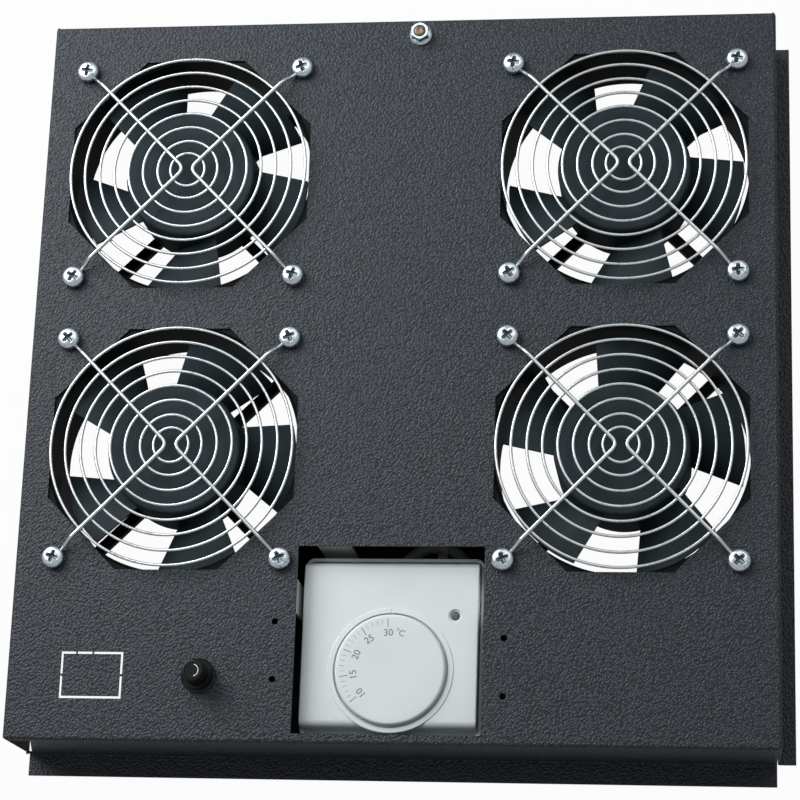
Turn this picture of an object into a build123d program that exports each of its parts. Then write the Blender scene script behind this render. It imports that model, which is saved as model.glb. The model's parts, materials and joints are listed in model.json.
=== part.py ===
from build123d import *
import math
import os

# A fan tray for the roof of a 19 inch cabinet: a folded sheet housing with four 120 mm axial fans under
# wire guards, a recessed room thermostat that switches them, a panel fuse holder and an earth stud.
# Lengths are in millimetres. +X is to the right and +Y to the rear, seen from the thermostat's side.
# The origin is the centre of the tray on the underside of its flanges, and +Z points up.

# Housing, folded from one sheet
tray_width = 347.0
tray_depth = 348.0
tray_height = 44.45
sheet = 1.2
bend_inside = 0.4
side_flange = 7.0
end_flange = 10.0
corner_slot = 0.3
corner_round = 2.0
strip_lap = 5.0
left_taper_top = 12.5
left_taper_bottom = 1.0
left_flange_notch = 5.0

# Fan pattern and the octagon cut-outs above the fans
fan_pitch_x = 206.08
fan_pitch_y = 135.33
fan_rear_margin = 16.835
fan_cutout_flats = 115.0
guard_hole_radius = 2.25

# Fan frame
fan_size = 120.0
fan_depth = 38.0
fan_hole_pitch = 104.8
fan_corner_radius = 5.0
fan_ear_thickness = 4.5
fan_ear_hole_radius = 2.15
fan_bore_radius = 58.0
fan_barrel_radius = 61.5
fan_bore_chamfer = 1.6
strut_width = 5.0
strut_height = 4.0
motor_base_radius = 30.0
motor_base_thickness = 3.5
bearing_tube_wall = 1.6
lead_boss_offset = 40.0
lead_boss_length = 9.0
lead_boss_height = 6.0
lead_boss_depth = 8.0
lead_boss_reach = 1.5

# Fan motor and impeller
hub_radius = 31.0
hub_top_gap = 0.4
hub_wall = 2.0
hub_top_thickness = 2.5
hub_edge_radius = 1.5
hub_skirt_gap = 1.6
hub_boss_radius = 4.5
hub_boss_length = 3.6
shaft_radius = 2.0
shaft_running_clearance = 0.03
shaft_floor_gap = 0.6
bearing_outer_radius = 6.5
bearing_width = 5.0
bearing_spacing = 19.0
bearing_tube_top_gap = 1.0
stator_radius = 25.0
stator_stack_height = 12.0
stator_pole_slots = 8
stator_slot_width = 3.0
stator_slot_length = 9.0
coil_radius = 20.0
coil_height = 4.0

blade_count = 5
blade_tip_clearance = 2.5
blade_thickness = 1.8
blade_root_width = 24.0
blade_root_height = 20.0
blade_tip_width = 46.0
blade_tip_height = 15.0
blade_camber = 3.0
blade_tip_sweep = 8.7
blade_centre_depth = 17.0
blade_hub_overlap = 0.6
# Angle of each impeller at rest, in degrees, for fans 1 to 4
impeller_phase = (56.0, 63.0, 71.5, 88.5)

# Wire guard: eight rings and two V-bent ribs
guard_ring_radii = (8.2, 14.4, 21.5, 28.5, 35.4, 42.4, 49.6, 56.5)
guard_ring_wire = 1.4
guard_rib_wire = 1.8
guard_ring_height = 4.6
guard_weld_depth = 0.25
guard_foot_distance = 69.4
guard_knee_distance = 62.0
guard_apex_offset = 3.0
guard_bend_radius = 4.0
guard_knee_radius = 3.0
guard_foot_radius = 2.0
guard_eye_clearance = 0.3

# Guard screws and their nuts, M4
screw_radius = 2.0
screw_head_radius = 4.7
screw_head_height = 2.9
screw_tip_length = 1.2
nut_flats = 7.0
nut_height = 3.2
thread_clearance = 0.02

# Thermostat and its cut-out
cutout_width = 84.7
cutout_depth = 85.3
cutout_x = 0.1
cutout_front_margin = 4.45
thermostat_shift_x = 0.3
thermostat_shift_y = -1.1
thermostat_size = 82.0
thermostat_corner_radius = 4.0
thermostat_rim_drop = 13.95
thermostat_base_height = 16.0
thermostat_wall = 1.4
thermostat_floor = 2.0
thermostat_seat_drop = 4.0
cover_width = 78.3
cover_depth = 74.6
cover_height = 9.2
cover_wall = 1.8
cover_edge_radius = 3.6
cover_side_radius = 0.8
vent_slot_length = 14.0
vent_slot_width = 1.4
vent_slot_pitch = 19.5
vent_slot_count = 4

dial_shift_y = -11.2
dial_surround_radius = 28.4
dial_surround_rise = 0.4
dial_radius = 25.3
dial_height = 3.9
dial_bevel = 2.2
dial_skirt_height = 1.7
dial_recess_clearance = 0.8
dial_recess_depth = 2.0
dial_floor_gap = 0.3
dial_boss_radius = 5.0
dial_boss_length = 3.0
dial_boss_clearance = 0.5
spindle_radius = 3.0
spindle_foot_radius = 5.5
spindle_foot_height = 2.0
dial_notch_width = 1.0
dial_notch_length = 2.4
dial_notch_depth = 0.3
regulator_width = 34.0
regulator_depth = 26.0
regulator_height = 8.0
wire_opening_shift_y = 9.0
wire_opening_width = 40.0
wire_opening_depth = 34.0
wire_opening_margin = 3.0

lens_shift_x = 28.5
lens_shift_y = 13.8
lens_radius = 2.1
lens_recess_radius = 3.0
lens_recess_depth = 0.8
lens_length = 4.0

# Thermostat bracket: a zinc-plated plate on three folded legs
bracket_width = 80.0
bracket_depth = 80.0
bracket_sheet = 1.2
bracket_leg_width = 15.2
bracket_leg_x = 27.3
bracket_leg_gap = 5.6
bracket_side_leg_shift_y = 21.0
bracket_side_leg_gap = 3.4
bracket_foot = 9.0
bracket_bend_inside = 1.0
bracket_screw_radius = 1.7
bracket_screw_x = 30.0
bracket_screw_head_radius = 3.2
bracket_screw_head_height = 1.6

# Black pan that closes the space under the thermostat
pan_sheet = 1.0
pan_floor_height = 1.5
pan_half_width = 56.0
pan_flange = 8.0
pan_wall_gap = 0.3
pan_front_gap = 2.5
pan_tongue_length = 36.0
pan_lip = 3.0

# Small holes beside the thermostat
side_hole_radius = 1.5
side_hole_spacing = 26.2
side_hole_distance = 51.65
right_holes_shift_y = -12.0
left_holes_shift_y = -5.35

# Switch knock-out
knockout_left_margin = 39.0
knockout_front_margin = 29.7
knockout_width = 28.7
knockout_depth = 21.4
knockout_slot = 1.2
knockout_side_bridge = 0.9
knockout_rear_bridge = 0.6
knockout_rear_bridge_places = (-7.2, 0.4)

# Fuse holder
fuse_left_margin = 88.5
fuse_front_margin = 29.7
fuse_hole_radius = 6.2
fuse_flange_radius = 7.8
fuse_flange_height = 2.2
fuse_collar_radius = 6.6
fuse_collar_height = 3.2
fuse_barrel_radius = 6.0
fuse_barrel_floor = 2.0
fuse_nut_flats = 15.0
fuse_nut_height = 3.5
fuse_bore_clearance = 0.3
fuse_carrier_radius = 4.0
fuse_carrier_length = 30.0
fuse_link_reach = 2.0
fuse_link_radius = 2.6
fuse_link_length = 20.0
fuse_cap_radius = 5.3
fuse_cap_top_radius = 4.8
fuse_cap_height = 9.2
fuse_cap_gap = 0.3
fuse_cap_edge = 0.7
fuse_cap_socket_depth = 4.0
fuse_tag_width = 2.8
fuse_tag_thickness = 0.8
fuse_tag_length = 8.0
fuse_tag_offset = 2.6

# Earth stud with a flange nut, M5
stud_x = 5.7
stud_rear_margin = 8.0
stud_radius = 2.5
stud_head_flats = 8.0
stud_head_height = 3.5
stud_tip_rise = 0.5
earth_flange_radius = 5.3
earth_flange_height = 1.0
earth_nut_height = 4.4

# Terminal block for the supply, between the fans
block_width = 20.0
block_length = 50.0
block_height = 15.0
block_poles = 5
block_pole_pitch = 9.0
block_tower_radius = 3.4
block_tower_drop = 2.5
block_clamp_radius = 1.6
block_clamp_floor = 1.0
block_wire_height = 7.5
block_fixing_radius = 1.6
block_nut_flats = 5.5
block_nut_height = 2.4
block_stud_end = 0.8
block_fixing_spacing = 18.0

# Fan leads and the thermostat cable. A lead's points are shares of the way from a fan's boss to the block:
# across, along and up.
lead_diameter = 2.2
lead_points = (
    (0.00, 0.00, 0.00),
    (0.20, 0.00, 0.00),
    (0.34, 0.06, 0.08),
    (0.48, 0.25, 0.30),
    (0.60, 0.62, 0.62),
    (0.70, 0.90, 0.92),
    (0.82, 1.00, 1.00),
    (1.00, 1.00, 1.00),
)
cable_diameter = 5.5
cable_route = (
    (-4.0, -137.5, 20.5),
    (-4.0, -126.0, 20.5),
    (-4.0, -113.0, 15.6),
    (-4.2, -101.0, 9.6),
    (-1.0, -86.0, 6.6),
    (12.0, -75.0, 6.6),
    (29.0, -79.0, 6.6),
    (36.0, -95.0, 6.6),
    (35.0, -115.0, 6.6),
    (27.0, -133.0, 6.6),
    (9.0, -145.0, 6.6),
    (-12.0, -144.0, 6.6),
    (-27.0, -131.0, 6.6),
    (-34.0, -112.0, 6.6),
    (-33.0, -91.0, 6.6),
    (-30.0, -71.0, 8.6),
    (-26.0, -53.0, 17.0),
    (-20.0, -37.0, 27.0),
    (-12.0, -22.0, 33.0),
    (-3.0, -8.0, 35.6),
    (-3.0, 4.5, 35.6),
)
tie_width = 3.6
tie_thickness = 1.0
tie_run = 5
tie_head_size = 4.6
cable_turn_share = 0.45

# Places worked out from the sizes above
plate_under = tray_height - sheet
half_width = tray_width / 2
half_depth = tray_depth / 2
bend_outside = bend_inside + sheet
fan_pattern_y = half_depth - fan_rear_margin - (fan_size + fan_pitch_y) / 2
block_y = fan_pattern_y
cutout_y = -half_depth + cutout_front_margin + cutout_depth / 2
thermostat_x = cutout_x + thermostat_shift_x
thermostat_y = cutout_y + thermostat_shift_y
dial_y = thermostat_y + dial_shift_y
wire_opening_y = thermostat_y + wire_opening_shift_y
lens_x = thermostat_x + lens_shift_x
lens_y = thermostat_y + lens_shift_y
bracket_side_leg_y = thermostat_y + bracket_side_leg_shift_y
right_holes = (cutout_x + side_hole_distance, cutout_y + right_holes_shift_y)
left_holes = (cutout_x - side_hole_distance, cutout_y + left_holes_shift_y)
knockout_x = -half_width + knockout_left_margin
knockout_y = -half_depth + knockout_front_margin
fuse_x = -half_width + fuse_left_margin
fuse_y = -half_depth + fuse_front_margin
stud_y = half_depth - stud_rear_margin
fan_places = (
    (-fan_pitch_x / 2, fan_pattern_y + fan_pitch_y / 2),
    (fan_pitch_x / 2, fan_pattern_y + fan_pitch_y / 2),
    (-fan_pitch_x / 2, fan_pattern_y - fan_pitch_y / 2),
    (fan_pitch_x / 2, fan_pattern_y - fan_pitch_y / 2),
)
fan_hole_half = fan_hole_pitch / 2
rim_top = tray_height - thermostat_rim_drop
base_bottom = rim_top - thermostat_base_height
cover_bottom = rim_top - thermostat_seat_drop
cover_top = cover_bottom + cover_height
STAND = (Align.CENTER, Align.CENTER, Align.MIN)
HANG = (Align.CENTER, Align.CENTER, Align.MAX)

os.makedirs("parts", exist_ok=True)


def save(name, shape):
    """Write one named sub-part."""
    export_step(shape, "parts/" + name + ".step")


def post(radius, low, high, x=0.0, y=0.0):
    """A round post between two heights."""
    return Pos(x, y, low) * Cylinder(radius, high - low, align=STAND)


def block(width, depth, low, high, x=0.0, y=0.0):
    """A rectangular block between two heights."""
    return Pos(x, y, low) * Box(width, depth, high - low, align=STAND)


def rounded_block(width, depth, corner, low, high, x=0.0, y=0.0):
    """A block with rounded upright corners between two heights."""
    return Pos(x, y, low) * extrude(RectangleRounded(width, depth, corner), high - low)


def hex_block(flats, low, high, x=0.0, y=0.0):
    """A hexagonal block, given across its flats, between two heights."""
    outline = RegularPolygon(flats / 2, 6, major_radius=False)
    return Pos(x, y, low) * extrude(outline, high - low)


def corner_places(half):
    """The four corners of a square pattern."""
    return [(sx * half, sy * half) for sx in (-1, 1) for sy in (-1, 1)]


# Housing


def folded_wall(half_span, flange, length):
    """One wall as a folded strip: plate edge, bend, wall, bend and outward flange, at the +X side."""
    middle = sheet / 2
    path = FilletPolyline(
        (half_span - strip_lap, 0, tray_height - middle),
        (half_span - middle, 0, tray_height - middle),
        (half_span - middle, 0, middle),
        (half_span + flange, 0, middle),
        radius=bend_inside + middle,
    )
    section = Plane(path @ 0, x_dir=(0, 1, 0), z_dir=(1, 0, 0)) * Rectangle(length, sheet)
    return sweep(section, path=path)


def side_wall():
    """The +X wall, cut back at its ends so that the end walls can fold down beside it."""
    wall = folded_wall(half_width, side_flange, tray_depth)
    flat_width = strip_lap - bend_outside
    for end in (-1, 1):
        relief = block(flat_width, bend_outside, plate_under - bend_outside, tray_height + sheet,
                       half_width - strip_lap + flat_width / 2, end * (half_depth - bend_outside / 2))
        wall -= relief
    return wall


def end_wall():
    """The rear wall between the side walls."""
    length = tray_width - 2 * (sheet + corner_slot)
    return Rot(0, 0, 90) * folded_wall(half_depth, end_flange, length)


def left_front_taper():
    """The taper cut off the front wall's left end: wide under the plate and narrow at the flange."""
    wall_left = -half_width + bend_outside
    outline = Polyline(
        (wall_left - strip_lap, plate_under - bend_outside),
        (-half_width + left_taper_top, plate_under - bend_outside),
        (wall_left + left_taper_bottom, sheet + bend_inside),
        (wall_left - strip_lap, sheet + bend_inside),
        close=True,
    )
    face = Plane.XZ * make_face(outline)
    cut = Pos(0, -half_depth + strip_lap, 0) * extrude(face, 2 * strip_lap)
    return cut - block(strip_lap + 2 * sheet, 4 * strip_lap, 0, tray_height,
                       -half_width + bend_outside - (strip_lap + 2 * sheet) / 2, -half_depth)


def knockout_slot_cut():
    """The slot round the switch knock-out, with the bridges that still hold the panel."""
    outer = Rectangle(knockout_width, knockout_depth)
    inner = Rectangle(knockout_width - 2 * knockout_slot, knockout_depth - 2 * knockout_slot)
    slot = outer - inner
    for side in (-1, 1):
        place = Pos(side * (knockout_width - knockout_slot) / 2, 0)
        slot -= place * Rectangle(2 * knockout_slot, knockout_side_bridge)
    for along in knockout_rear_bridge_places:
        place = Pos(along, (knockout_depth - knockout_slot) / 2)
        slot -= place * Rectangle(knockout_rear_bridge, 2 * knockout_slot)
    return slot


def plate_cuts():
    """Every opening in the top plate, as one flat set of outlines."""
    octagon = RegularPolygon(fan_cutout_flats / 2, 8, major_radius=False, rotation=22.5)
    cuts = Pos(cutout_x, cutout_y) * Rectangle(cutout_width, cutout_depth)
    for fan_x, fan_y in fan_places:
        cuts += Pos(fan_x, fan_y) * octagon
        for hole_x, hole_y in corner_places(fan_hole_half):
            cuts += Pos(fan_x + hole_x, fan_y + hole_y) * Circle(guard_hole_radius)
    for x, y in (right_holes, left_holes):
        for end in (-1, 1):
            cuts += Pos(x, y + end * side_hole_spacing / 2) * Circle(side_hole_radius)
    cuts += Pos(fuse_x, fuse_y) * Circle(fuse_hole_radius)
    cuts += Pos(stud_x, stud_y) * Circle(stud_radius + thread_clearance)
    cuts += Pos(knockout_x, knockout_y) * knockout_slot_cut()
    return cuts


def corner_rounding():
    """What comes off the four upright corners above the flanges, where the folds meet."""
    low = sheet + bend_inside
    square = block(corner_round, corner_round, low, tray_height + sheet, corner_round / 2, corner_round / 2)
    sliver = square - post(corner_round, low, tray_height + sheet)
    reach_x = half_width - corner_round
    reach_y = half_depth - corner_round
    corner = Pos(reach_x, reach_y, 0) * sliver
    right = corner + mirror(corner, about=Plane.XZ)
    return right + mirror(right, about=Plane.YZ)


def left_flange_cut():
    """The notch in the left flange at its front end."""
    return block(side_flange, left_flange_notch, 0, sheet,
                 -half_width - bend_inside - side_flange / 2, -half_depth + left_flange_notch / 2)


def housing():
    """The folded housing as one sheet."""
    flat = Rectangle(tray_width - 2 * strip_lap, tray_depth - 2 * bend_outside)
    flat += Rectangle(tray_width - 2 * strip_lap, tray_depth - 2 * strip_lap)
    plate = Pos(0, 0, plate_under) * extrude(flat, sheet)
    side = side_wall()
    end = end_wall()
    body = plate + side + mirror(side, about=Plane.YZ) + end + mirror(end, about=Plane.XZ)
    body -= Pos(0, 0, plate_under - sheet) * extrude(plate_cuts(), 3 * sheet)
    return body - left_front_taper() - corner_rounding() - left_flange_cut()


# Fans: heights are measured from the underside of the plate, which the frame's top meets

shaft_low = -fan_depth + motor_base_thickness + shaft_floor_gap
base_top = -fan_depth + motor_base_thickness
bearing_low = base_top + shaft_floor_gap + bearing_tube_top_gap
tube_top = bearing_low + bearing_spacing + bearing_width + bearing_tube_top_gap
hub_top = -hub_top_gap
hub_inside = hub_top - hub_top_thickness
hub_bottom = base_top + hub_skirt_gap
blade_tip_radius = fan_bore_radius - blade_tip_clearance
stator_middle = (tube_top + base_top) / 2


def fan_frame(side, end):
    """Square frame with a round bore, corner ears, four struts, motor base and bearing tube.

    Its lead leaves through a boss on the lower ear, on the given side and towards the other row.
    """
    square = RectangleRounded(fan_size, fan_size, fan_corner_radius)
    ear = extrude(square, fan_ear_thickness)
    barrel = extrude(square, fan_depth) & Cylinder(fan_barrel_radius, fan_depth, align=STAND)
    body = Pos(0, 0, -fan_depth) * (barrel + ear + Pos(0, 0, fan_depth - fan_ear_thickness) * ear)
    body -= post(fan_bore_radius, -fan_depth, 0)
    mouth_radius = fan_bore_radius + fan_bore_chamfer
    flare = Cone(fan_bore_radius, mouth_radius, fan_bore_chamfer, align=HANG)
    body -= flare
    body -= Pos(0, 0, -fan_depth) * mirror(flare, about=Plane.XY)
    for x, y in corner_places(fan_hole_half):
        body -= post(fan_ear_hole_radius, -fan_depth, 0, x, y)
    strut_reach = fan_bore_radius + fan_bore_chamfer
    strut = Pos(strut_reach / 2, 0, -fan_depth) * Box(strut_reach, strut_width, strut_height, align=STAND)
    for turn in (45, 135, 225, 315):
        body += Rot(0, 0, turn) * strut
    body += post(motor_base_radius, -fan_depth, base_top)
    body += post(bearing_outer_radius + bearing_tube_wall, base_top, tube_top)
    body -= post(bearing_outer_radius, base_top, tube_top)
    boss_low = -fan_depth + fan_ear_thickness
    boss_x = fan_size / 2 + lead_boss_reach - lead_boss_depth / 2
    return body + block(lead_boss_depth, lead_boss_length, boss_low, boss_low + lead_boss_height,
                        -side * boss_x, -end * lead_boss_offset)


def fan_stator():
    """Laminated stack on the bearing tube, with slots between its poles and a coil above and below."""
    tube = bearing_outer_radius + bearing_tube_wall
    low = stator_middle - stator_stack_height / 2
    high = stator_middle + stator_stack_height / 2
    stack = post(stator_radius, low, high)
    slot = Pos(stator_radius - stator_slot_length / 2, 0, low) * Box(
        stator_slot_length, stator_slot_width, stator_stack_height, align=STAND)
    for index in range(stator_pole_slots):
        stack -= Rot(0, 0, index * 360 / stator_pole_slots) * slot
    coils = post(coil_radius, low - coil_height, high + coil_height)
    return stack + coils - post(tube, low - coil_height, high + coil_height)


def blade_section(distance):
    """A cambered blade outline in the plane at this distance from the axis."""
    share = (distance - hub_radius) / (blade_tip_radius - hub_radius)
    half_w = (blade_root_width + share * (blade_tip_width - blade_root_width)) / 2
    half_h = (blade_root_height + share * (blade_tip_height - blade_root_height)) / 2
    shift = -share * blade_tip_sweep
    half_t = blade_thickness / 2
    lead_top = (shift + half_w, half_h + half_t)
    lead_low = (shift + half_w, half_h - half_t)
    trail_top = (shift - half_w, -half_h + half_t)
    trail_low = (shift - half_w, -half_h - half_t)
    upper = ThreePointArc(trail_top, (shift, blade_camber + half_t), lead_top)
    lower = ThreePointArc(lead_low, (shift, blade_camber - half_t), trail_low)
    outline = make_face([upper, Line(lead_top, lead_low), lower, Line(trail_low, trail_top)])
    return Plane(origin=(distance, 0, -blade_centre_depth), x_dir=(0, 1, 0), z_dir=(1, 0, 0)) * outline


def fan_impeller():
    """Hub cup with five swept and twisted blades, lofted and trimmed to the tip circle."""
    inner_edge = hub_radius - blade_hub_overlap
    sections = [blade_section(d) for d in (hub_radius * 0.7, hub_radius * 1.25, blade_tip_radius * 1.1)]
    blade = loft(sections)
    band = post(blade_tip_radius, -fan_depth, 0) - post(inner_edge, -fan_depth, 0)
    blade = blade & band
    cup = post(hub_radius, hub_bottom, hub_top)
    cup = fillet(cup.edges().group_by(Axis.Z)[-1], hub_edge_radius)
    cup -= post(hub_radius - hub_wall, hub_bottom, hub_inside)
    cup += post(hub_boss_radius, hub_inside - hub_boss_length, hub_inside)
    cup -= post(shaft_radius, hub_inside - hub_boss_length, hub_inside)
    for index in range(blade_count):
        cup += Rot(0, 0, index * 360 / blade_count) * blade
    return cup


def fan_shaft():
    """The shaft, held in the hub's boss and turning in the bearings."""
    return post(shaft_radius, shaft_low, hub_inside)


def fan_bearings():
    """Two ball bearings in the tube, each as a plain ring."""
    bore = shaft_radius + shaft_running_clearance
    rings = []
    for low in (bearing_low, bearing_low + bearing_spacing):
        rings.append(post(bearing_outer_radius, low, low + bearing_width) - post(bore, low, low + bearing_width))
    return Compound(children=rings)


# Guards: heights are measured from the underside of the plate


ring_middle = sheet + guard_ring_height
rib_middle = ring_middle + (guard_ring_wire + guard_rib_wire) / 2 - guard_weld_depth
eye_middle = sheet + guard_rib_wire / 2
eye_radius = screw_radius + guard_eye_clearance + guard_rib_wire / 2


def guard_rib():
    """One rib: from an eye up its knee, in to the V near the middle and out again, on the left side."""
    diagonal = math.sqrt(0.5)
    eye_edge = fan_hole_half - eye_radius * diagonal
    foot = guard_foot_distance * diagonal
    knee = guard_knee_distance * diagonal
    apex = guard_apex_offset - guard_bend_radius * (math.sqrt(2) - 1)
    path = FilletPolyline(
        (-eye_edge, eye_edge, eye_middle),
        (-foot, foot, eye_middle),
        (-knee, knee, rib_middle),
        (-apex, 0, rib_middle),
        (-knee, -knee, rib_middle),
        (-foot, -foot, eye_middle),
        (-eye_edge, -eye_edge, eye_middle),
        radius=[guard_foot_radius, guard_knee_radius, guard_bend_radius, guard_knee_radius, guard_foot_radius],
    )
    section = Plane(path @ 0, z_dir=path % 0) * Circle(guard_rib_wire / 2)
    return sweep(section, path=path)


def fan_guard():
    """The welded wire guard."""
    guard = guard_rib()
    guard += mirror(guard_rib(), about=Plane.YZ)
    for radius in guard_ring_radii:
        guard += Pos(0, 0, ring_middle) * Torus(radius, guard_ring_wire / 2)
    for x, y in corner_places(fan_hole_half):
        guard += Pos(x, y, eye_middle) * Torus(eye_radius, guard_rib_wire / 2)
    return guard


def guard_screws():
    """Four pan-head screws through the guard's eyes, the plate and the frame's ears."""
    seat = sheet + guard_rib_wire
    tip = -fan_ear_thickness - nut_height - screw_tip_length
    head = post(screw_head_radius, seat, seat + screw_head_height)
    head = fillet(head.edges().group_by(Axis.Z)[-1], screw_head_height * 0.7)
    screw = head + post(screw_radius, tip, seat)
    return Compound(children=[Pos(x, y, 0) * screw for x, y in corner_places(fan_hole_half)])


def guard_nuts():
    """Four nuts under the frame's ears."""
    low = -fan_ear_thickness - nut_height
    nut = hex_block(nut_flats, low, -fan_ear_thickness)
    nut -= post(screw_radius + thread_clearance, low, -fan_ear_thickness)
    return Compound(children=[Pos(x, y, 0) * nut for x, y in corner_places(fan_hole_half)])


# Thermostat


def thermostat_base():
    """Open-topped base: floor, four walls, and a ledge that carries the cover inside the rim."""
    shell = rounded_block(thermostat_size, thermostat_size, thermostat_corner_radius, base_bottom, rim_top,
                          thermostat_x, thermostat_y)
    inside = thermostat_size - 2 * thermostat_wall
    inner_corner = thermostat_corner_radius - thermostat_wall
    shell -= rounded_block(inside, inside, inner_corner, cover_bottom, rim_top, thermostat_x, thermostat_y)
    hollow_x = cover_width - 2 * cover_wall
    hollow_y = cover_depth - 2 * cover_wall
    shell -= block(hollow_x, hollow_y, base_bottom + thermostat_floor, cover_bottom, thermostat_x, thermostat_y)
    shell -= block(wire_opening_width, wire_opening_depth, base_bottom, base_bottom + thermostat_floor,
                   thermostat_x, wire_opening_y)
    slot_y = thermostat_y + (cover_depth + inside) / 4
    for index in range(vent_slot_count):
        slot_x = thermostat_x + (index - (vent_slot_count - 1) / 2) * vent_slot_pitch
        shell -= block(vent_slot_length, vent_slot_width, base_bottom, cover_bottom, slot_x, slot_y)
    return shell


def cover_form(width, depth, low, high, edge, side):
    """A cover's outer form: front and rear edges well rounded and the two side edges eased."""
    form = block(width, depth, low, high, thermostat_x, thermostat_y)
    top = form.faces().sort_by(Axis.Z)[-1]
    long_edges = top.edges().filter_by(Axis.X)
    form = fillet(long_edges, edge)
    side_faces = form.faces().filter_by(Axis.X)
    ends = [e for face in side_faces for e in face.edges() if e.center().Z > low + (high - low) / 2]
    return fillet(ends, side) if side > 0 else form


def thermostat_cover():
    """Cover shell with the raised dial surround, the dial's recess and the lens's recess."""
    cover = cover_form(cover_width, cover_depth, cover_bottom, cover_top, cover_edge_radius, cover_side_radius)
    surround_top = cover_top + dial_surround_rise
    surround = post(dial_surround_radius, cover_bottom, surround_top, thermostat_x, dial_y)
    surround = fillet(surround.edges().group_by(Axis.Z)[-1], dial_surround_rise * 0.9)
    cover += surround
    roof = cover_top - cover_wall - dial_recess_depth
    cover -= block(cover_width - 2 * cover_wall, cover_depth - 2 * cover_wall, cover_bottom, roof,
                   thermostat_x, thermostat_y)
    recess_radius = dial_radius + dial_recess_clearance
    recess_floor = surround_top - dial_recess_depth
    cover -= post(recess_radius, recess_floor, surround_top, thermostat_x, dial_y)
    hub_hole = dial_boss_radius + dial_boss_clearance
    cover -= post(hub_hole, roof, surround_top, thermostat_x, dial_y)
    cover -= post(lens_recess_radius, cover_top - lens_recess_depth, cover_top, lens_x, lens_y)
    cover -= post(lens_radius, roof, cover_top, lens_x, lens_y)
    notch_y = dial_y + dial_surround_radius - dial_notch_length / 2
    cover -= block(dial_notch_width, dial_notch_length, surround_top - dial_notch_depth, surround_top,
                   thermostat_x, notch_y)
    return cover


dial_low = cover_top + dial_surround_rise - dial_recess_depth + dial_floor_gap
dial_top = dial_low + dial_height


def thermostat_dial():
    """Bevelled dial with the boss that grips the spindle."""
    skirt_top = dial_low + dial_skirt_height
    skirt = post(dial_radius, dial_low, skirt_top, thermostat_x, dial_y)
    bevel_height = dial_top - skirt_top
    crown = Pos(thermostat_x, dial_y, skirt_top) * Cone(
        dial_radius, dial_radius - dial_bevel, bevel_height, align=STAND)
    boss = post(dial_boss_radius, dial_low - dial_boss_length, dial_low, thermostat_x, dial_y)
    dial = skirt + crown + boss
    return dial - post(spindle_radius, dial_low - dial_boss_length, dial_low, thermostat_x, dial_y)


regulator_low = base_bottom + thermostat_floor
regulator_top = regulator_low + regulator_height


def thermostat_spindle():
    """The spindle, with a foot that turns on the regulator."""
    foot_low = regulator_top + dial_floor_gap
    foot = post(spindle_foot_radius, foot_low, foot_low + spindle_foot_height, thermostat_x, dial_y)
    return foot + post(spindle_radius, foot_low, dial_low, thermostat_x, dial_y)


def thermostat_regulator():
    """The sensing and switching unit under the spindle, on the base's floor."""
    unit_y = thermostat_y - cover_depth / 2 + cover_wall + regulator_depth / 2
    return block(regulator_width, regulator_depth, regulator_low, regulator_top, thermostat_x, unit_y)


def thermostat_lens():
    """The indicator's lens: a short rod with a domed end in the cover's recess."""
    rod = post(lens_radius, cover_top - lens_length, cover_top - lens_recess_depth / 2, lens_x, lens_y)
    return fillet(rod.edges().group_by(Axis.Z)[-1], lens_radius * 0.6)


def folded_leg(out, rise, foot):
    """A leg at the plate's +Y edge: out from the plate, up to the tray and out again as a foot."""
    middle = bracket_sheet / 2
    path = FilletPolyline(
        (0, -bracket_foot, middle),
        (0, out, middle),
        (0, out, rise - middle),
        (0, out + foot, rise - middle),
        radius=bracket_bend_inside + middle,
    )
    section = Plane(path @ 0, x_dir=(1, 0, 0), z_dir=(0, 1, 0)) * Rectangle(bracket_leg_width, bracket_sheet)
    return sweep(section, path=path)


def thermostat_bracket():
    """Plate under the thermostat's base, hung from the tray on a leg at the rear and one at each side."""
    plate_low = base_bottom - bracket_sheet
    plate = block(bracket_width, bracket_depth, plate_low, base_bottom, thermostat_x, thermostat_y)
    plate -= block(wire_opening_width + 2 * wire_opening_margin, wire_opening_depth + 2 * wire_opening_margin,
                   plate_low, base_bottom, thermostat_x, wire_opening_y)
    rise = plate_under - plate_low
    rear_y = thermostat_y + bracket_depth / 2
    leg = folded_leg(bracket_leg_gap, rise, bracket_foot)
    plate += Pos(thermostat_x - bracket_leg_x, rear_y, plate_low) * leg
    for side in (-1, 1):
        leg = folded_leg(bracket_side_leg_gap, rise, bracket_foot)
        leg = Rot(0, 0, -90 * side) * leg
        plate += Pos(thermostat_x + side * bracket_width / 2, bracket_side_leg_y, plate_low) * leg
    for side in (-1, 1):
        plate -= post(bracket_screw_radius, plate_low, base_bottom,
                      thermostat_x + side * bracket_screw_x, thermostat_y)
    return plate


def thermostat_screws():
    """Two screws that hold the base on the bracket from below."""
    plate_low = base_bottom - bracket_sheet
    screws = []
    for side in (-1, 1):
        x = thermostat_x + side * bracket_screw_x
        screw = post(bracket_screw_head_radius, plate_low - bracket_screw_head_height, plate_low,
                     x, thermostat_y)
        screws.append(screw + post(bracket_screw_radius - thread_clearance, plate_low, base_bottom,
                                   x, thermostat_y))
    return Compound(children=screws)


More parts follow.
